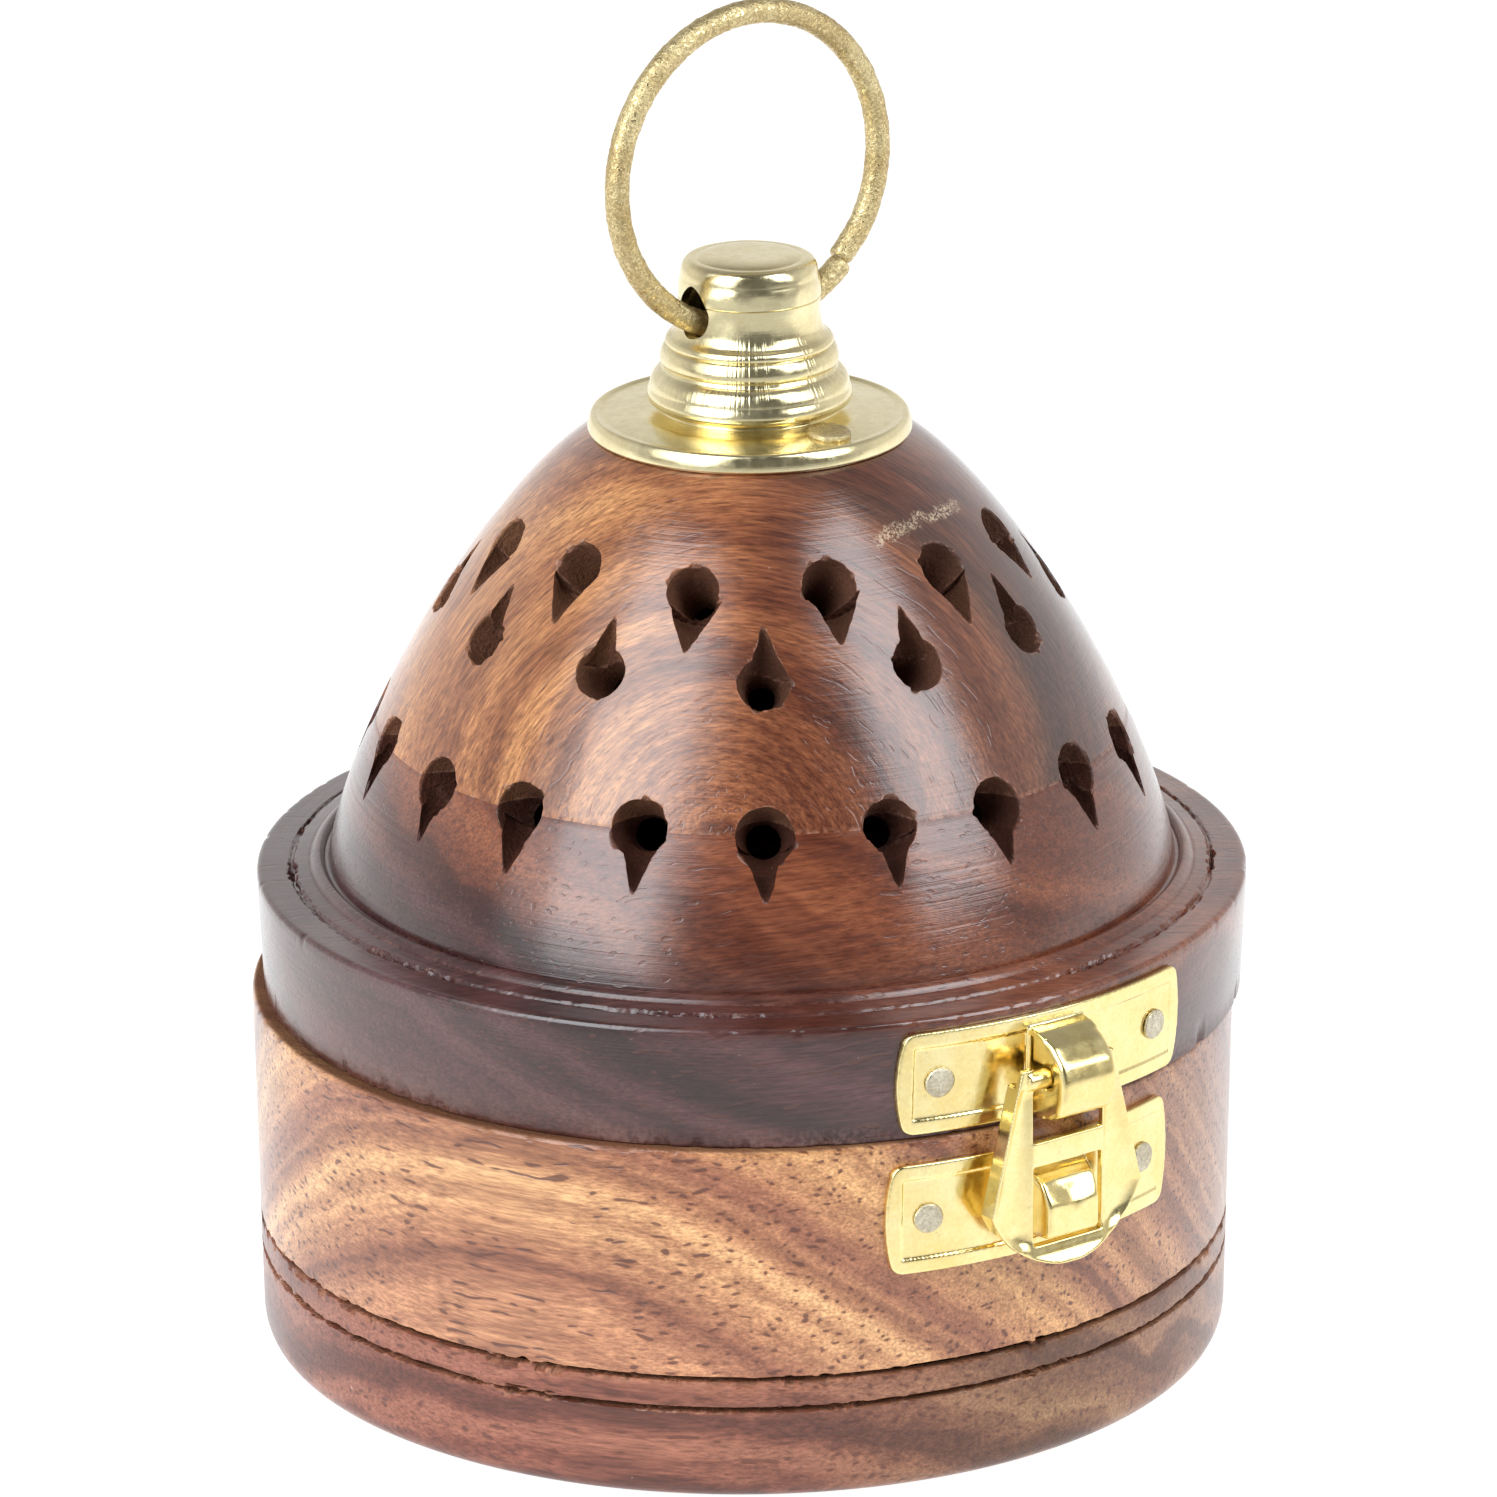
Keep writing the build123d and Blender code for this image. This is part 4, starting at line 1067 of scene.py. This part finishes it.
def ember_dish():
    """The spun dish, with faint lathe steps and a bruised rim."""
    radius, sheet, bead, low = DISH_HIGH[0], 0.8, 9.0, FLOOR_Z
    inner = radius - sheet
    outline = trace(
        (0.6, low), (radius - 1.5, low),
        ((radius - 0.44, low + 0.44), (radius, low + 1.5)), (radius, low + 5.0),
        ((radius - sheet / 2, low + 5.4), (inner, low + 5.0)), (inner, low + 1.9),
        ((inner - 0.32, low + 1.12), (inner - 1.1, low + sheet)), (bead + 1.2, low + sheet),
        ((bead, low + sheet + 1.2), (bead - 1.2, low + sheet)), (0.6, low + sheet), spacing=even(0.45),
    )
    grid = spun(outline, 420)
    ripple = (noise(grid, (6, 6, 1), 91) - 0.5) * 0.12 * (grid[..., 2] > low + 0.4)
    grid[..., 2] -= np.abs(ripple)
    obj = mesh_of("dish_brass", [grid])
    shade(obj, 45)
    return obj


# ---- stage
def view_way(azimuth, elevation=0.0):
    """Unit direction from the object; azimuth is counted from -Y towards +X, both in degrees."""
    a, e = radians(azimuth), radians(elevation)
    return Vector((sin(a) * cos(e), -cos(a) * cos(e), sin(e)))


def softbox(name, azimuth, elevation, distance, size, radiance):
    """A rectangular light that the camera doesn't see."""
    data = bpy.data.lights.new(name, "AREA")
    data.shape = "RECTANGLE"
    data.size, data.size_y = size
    data.energy = radiance * pi * size[0] * size[1]
    data.color = LIGHT_COLOUR
    lamp = bpy.data.objects.new(name, data)
    bpy.context.scene.collection.objects.link(lamp)
    away = view_way(azimuth, elevation)
    lamp.location = LIGHT_AIM + away * distance
    lamp.rotation_euler = away.to_track_quat("Z", "Y").to_euler()
    lamp.visible_camera = False


def camera():
    back = view_way(VIEW_AZIMUTH, VIEW_ELEVATION)
    right = Vector((cos(radians(VIEW_AZIMUTH)), sin(radians(VIEW_AZIMUTH)), 0))
    target = Vector((0, 0, VIEW_HEIGHT)) + right * VIEW_ASIDE
    data = bpy.data.cameras.new("camera")
    data.sensor_width = 36.0
    data.lens = VIEW_LENS
    data.clip_end = 50
    eye = bpy.data.objects.new("camera", data)
    bpy.context.scene.collection.objects.link(eye)
    eye.location = target + back * VIEW_DISTANCE
    turn = back.to_track_quat("Z", "Y") @ Quaternion((0, 0, 1), -radians(VIEW_ROLL))
    eye.rotation_euler = turn.to_euler()
    bpy.context.scene.camera = eye


def lay_floor():
    """A white floor that glows less on the camera's side."""
    bpy.ops.mesh.primitive_circle_add(vertices=96, radius=4.0, fill_type="NGON")
    floor = bpy.context.object
    floor.name = "floor"
    material = bpy.data.materials.new("floor_white")
    material.use_nodes = True
    tree = material.node_tree
    place = put("ShaderNodeNewGeometry", {}, tree).outputs["Position"]
    toward = along(place, view_way(VIEW_AZIMUTH))
    feed(tree.nodes["Principled BSDF"], {
        "Base Color": (0.35, 0.35, 0.35, 1), "Roughness": 0.9, "Specular IOR Level": 0.0,
        "Emission Color": (1, 1, 1, 1), "Emission Strength": spread(toward, 0.07, 0.19, 0.9, 0.22),
    })
    floor.data.materials.append(material)
    floor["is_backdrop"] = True


def studio():
    """A pale world that is dimmer overhead and on the camera's side, and three softboxes."""
    world = bpy.data.worlds.new("studio")
    bpy.context.scene.world = world
    world.use_nodes = True
    tree = world.node_tree
    away = put("ShaderNodeTexCoord", {}, tree).outputs["Generated"]
    glow = spread(along(away, view_way(VIEW_AZIMUTH)), -0.25, 0.60, 0.85, 0.16)
    glow = times(glow, spread(along(away, (0, 0, 1)), 0.30, 0.80, 1.0, 0.4))
    feed(tree.nodes["Background"], {"Color": combined(glow, glow, glow)})
    bpy.context.scene.view_settings.view_transform = "Standard"
    softbox("softbox_left", VIEW_AZIMUTH - 42, 32, 1.0, (0.55, 1.1), 3.6)
    softbox("softbox_left_edge", VIEW_AZIMUTH - 46, 32, 1.02, (1.0, 1.1), 1.6)
    softbox("softbox_right", VIEW_AZIMUTH + 61, 38, 1.0, (0.48, 0.9), 5.4)


# ---- the object
camera()
lay_floor()
studio()

wood_wall = wood(
    "wall_wood", across=(0.99, 0.48, 1.0), span=(-40.0, 44.0), stops=(
        (0.0, (0.44, 0.185, 0.092)), (0.05, (0.45, 0.190, 0.095)), (0.09, (0.34, 0.125, 0.062)),
        (0.14, (0.48, 0.215, 0.100)), (0.19, (0.60, 0.300, 0.137)), (0.23, (0.44, 0.188, 0.086)),
        (0.28, (0.30, 0.105, 0.054)), (0.31, (0.40, 0.160, 0.074)), (0.36, (0.62, 0.310, 0.132)),
        (0.42, (0.54, 0.265, 0.115)), (0.48, (0.30, 0.110, 0.056)), (0.58, (0.45, 0.205, 0.095)),
        (0.70, (0.32, 0.130, 0.067)), (0.84, (0.34, 0.150, 0.075)), (1.0, (0.26, 0.100, 0.056)),
    ),
    width=3.2, bend=3.0, contrast=0.6, raw=(0.16, 0.07, 0.035), grain=-64, layers=(0.99, 0.48, 1.0),
    polish=0.8, gloss=0.17, chips=0.4, seed=1.0,
)
wood_plinth = wood(
    "plinth_wood", across=(0.9, -0.5, 0.0), span=(-55.0, 55.0), stops=(
        (0.0, (0.20, 0.062, 0.038)), (0.25, (0.22, 0.066, 0.040)), (0.5, (0.20, 0.064, 0.036)),
        (0.75, (0.20, 0.090, 0.042)), (1.0, (0.27, 0.108, 0.060)),
    ),
    width=5.0, bend=9.0, contrast=0.75, raw=(0.14, 0.06, 0.03), grain=-50, layers=(0.3, 0.2, 1.0),
    pore=0.85, polish=0.6, gloss=0.19, seed=2.0,
)
wood_rim = wood(
    "rim_wood", across=(0.4, -0.3, 3.0), span=(90.0, 230.0), stops=(
        (0.0, (0.115, 0.037, 0.024)), (0.15, (0.070, 0.021, 0.018)), (0.28, (0.060, 0.018, 0.018)),
        (0.42, (0.060, 0.018, 0.016)), (0.52, (0.155, 0.043, 0.020)), (0.65, (0.165, 0.043, 0.018)),
        (0.82, (0.130, 0.032, 0.013)), (1.0, (0.10, 0.026, 0.013)),
    ),
    width=6.0, bend=7.0, contrast=0.85, raw=(0.050, 0.020, 0.014), grain=-30, tilt=6,
    layers=(0.4, -0.3, 1.0), pore=0.6, gloss=0.17, centre=LID_X, seed=3.0,
)
wood_dome = wood(
    "dome_wood", across=(0.81, -0.59, 0.0), span=(-41.0, 39.0), stops=(
        (0.0, (0.39, 0.142, 0.052)), (0.07, (0.38, 0.138, 0.050)), (0.14, (0.31, 0.108, 0.040)),
        (0.22, (0.36, 0.140, 0.054)), (0.36, (0.37, 0.145, 0.055)), (0.44, (0.25, 0.082, 0.032)),
        (0.49, (0.25, 0.080, 0.031)), (0.54, (0.150, 0.043, 0.018)), (0.68, (0.150, 0.043, 0.018)),
        (0.80, (0.165, 0.050, 0.022)), (0.90, (0.105, 0.032, 0.016)), (1.0, (0.14, 0.045, 0.022)),
    ),
    width=4.5, bend=3.5, contrast=0.8, raw=(0.13, 0.060, 0.038), knot=(LID_X - 2.3, 1.6, 61.0),
    scuff=((0.4, -22.9, 88.8), (12.6, -19.5, 89.3)), fur=1.3, pore=0.45, gloss=0.17, chips=0.7,
    centre=LID_X, seed=5.0,
)

finish(plinth(), "base_plinth", "base", "dark_wood", wood_plinth)
finish(base_wall(), "base_wall", "base", "light_wood", wood_wall)
finish(lid_rim(), "lid_rim", "lid", "rim_wood", wood_rim)
finish(lid_dome(), "lid_dome", "lid", "dome_wood", wood_dome)

brass_finial = brass(
    "finial_brass", (0.90, 0.80, 0.50), (0.79, 0.67, 0.38), 0.18, spots=0.25, spin=0.006, centre=LID_X,
    ribs=(98.5, 106.5),
)
brass_ring = brass("ring_brass", (0.88, 0.74, 0.42), (0.60, 0.44, 0.20), 0.26, spots=0.5, grit=0.55)
brass_plate = brass("plate_brass", (0.93, 0.80, 0.42), (0.87, 0.68, 0.28), 0.17, spots=0.3)
brass_dish = brass("dish_brass", (0.78, 0.62, 0.34), (0.50, 0.36, 0.18), 0.30, spots=0.9, spin=0.010)
brass_nail = brass(
    "nail_brass", (0.74, 0.62, 0.36), (0.48, 0.38, 0.21), 0.28, scratch=0.02, spots=0.4, grit=0.3)
steel_nail = brass(
    "nail_metal", (0.80, 0.74, 0.58), (0.56, 0.49, 0.36), 0.30, scratch=0.02, spots=0.4, grit=0.3)

finish(finial(), "finial", "lid", "finial_brass", brass_finial)
finish(carrying_ring(), "carrying_ring", "ring", "ring_brass", brass_ring)
finish(ember_dish(), "ember_dish", "base", "dish_brass", brass_dish)

# Piece, CAD node, body, and what softened() is told: voxel, passes, dents, reshaped and pressed
SHEETS = (
    ("latch_sheet", "latch_plate", "lid", (0.12, 12, 0.014, None, (3.4, 110))),
    ("catch_sheet", "catch_plate", "base", (0.12, 12, 0.014, faceted, (2.6, 36))),
    ("hasp_loop", "hasp", "hasp", (0.10, 14, 0.010, dished, (0.9, 28))),
    ("hinge_sheet_base", "hinge_leaf_base", "base", (0.13, 3, 0.02)),
    ("hinge_sheet_lid", "hinge_leaf_lid", "lid", (0.13, 3, 0.02)),
)
STEEL = (
    ("hinge_rod", "hinge_pin", "base", (0.11, 3, 0.02)),
    ("latch_nail_heads", "latch_nails", "lid", (0.11, 3, 0.10)),
    ("catch_nail_heads", "catch_nails", "base", (0.11, 3, 0.10)),
)
FINIAL_NAILS = (("finial_nail_heads", "finial_nails", "lid", (0.12, 3, 0.12)),)
HIDDEN_NAILS = (
    ("dish_nail_heads", "dish_nails", "base", (0.14, 3, 0.10)),
    ("hinge_nail_heads_base", "hinge_nails_base", "base", (0.14, 2, 0.05)),
    ("hinge_nail_heads_lid", "hinge_nails_lid", "lid", (0.14, 2, 0.05)),
)
for pieces, slot, material in (
    (SHEETS, "plate_brass", brass_plate),
    (STEEL, "nail_steel", steel_nail),
    (FINIAL_NAILS, "nail_brass", brass_nail),
    (HIDDEN_NAILS, "nail_steel", steel_nail),
):
    for piece, node, body, shaping in pieces:
        finish(softened(piece, node, *shaping), node, body, slot, material)

boxes = {"cad": cad_bounds, "visual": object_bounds()}
{key: [list(corner) for corner in value] for key, value in boxes.items()}
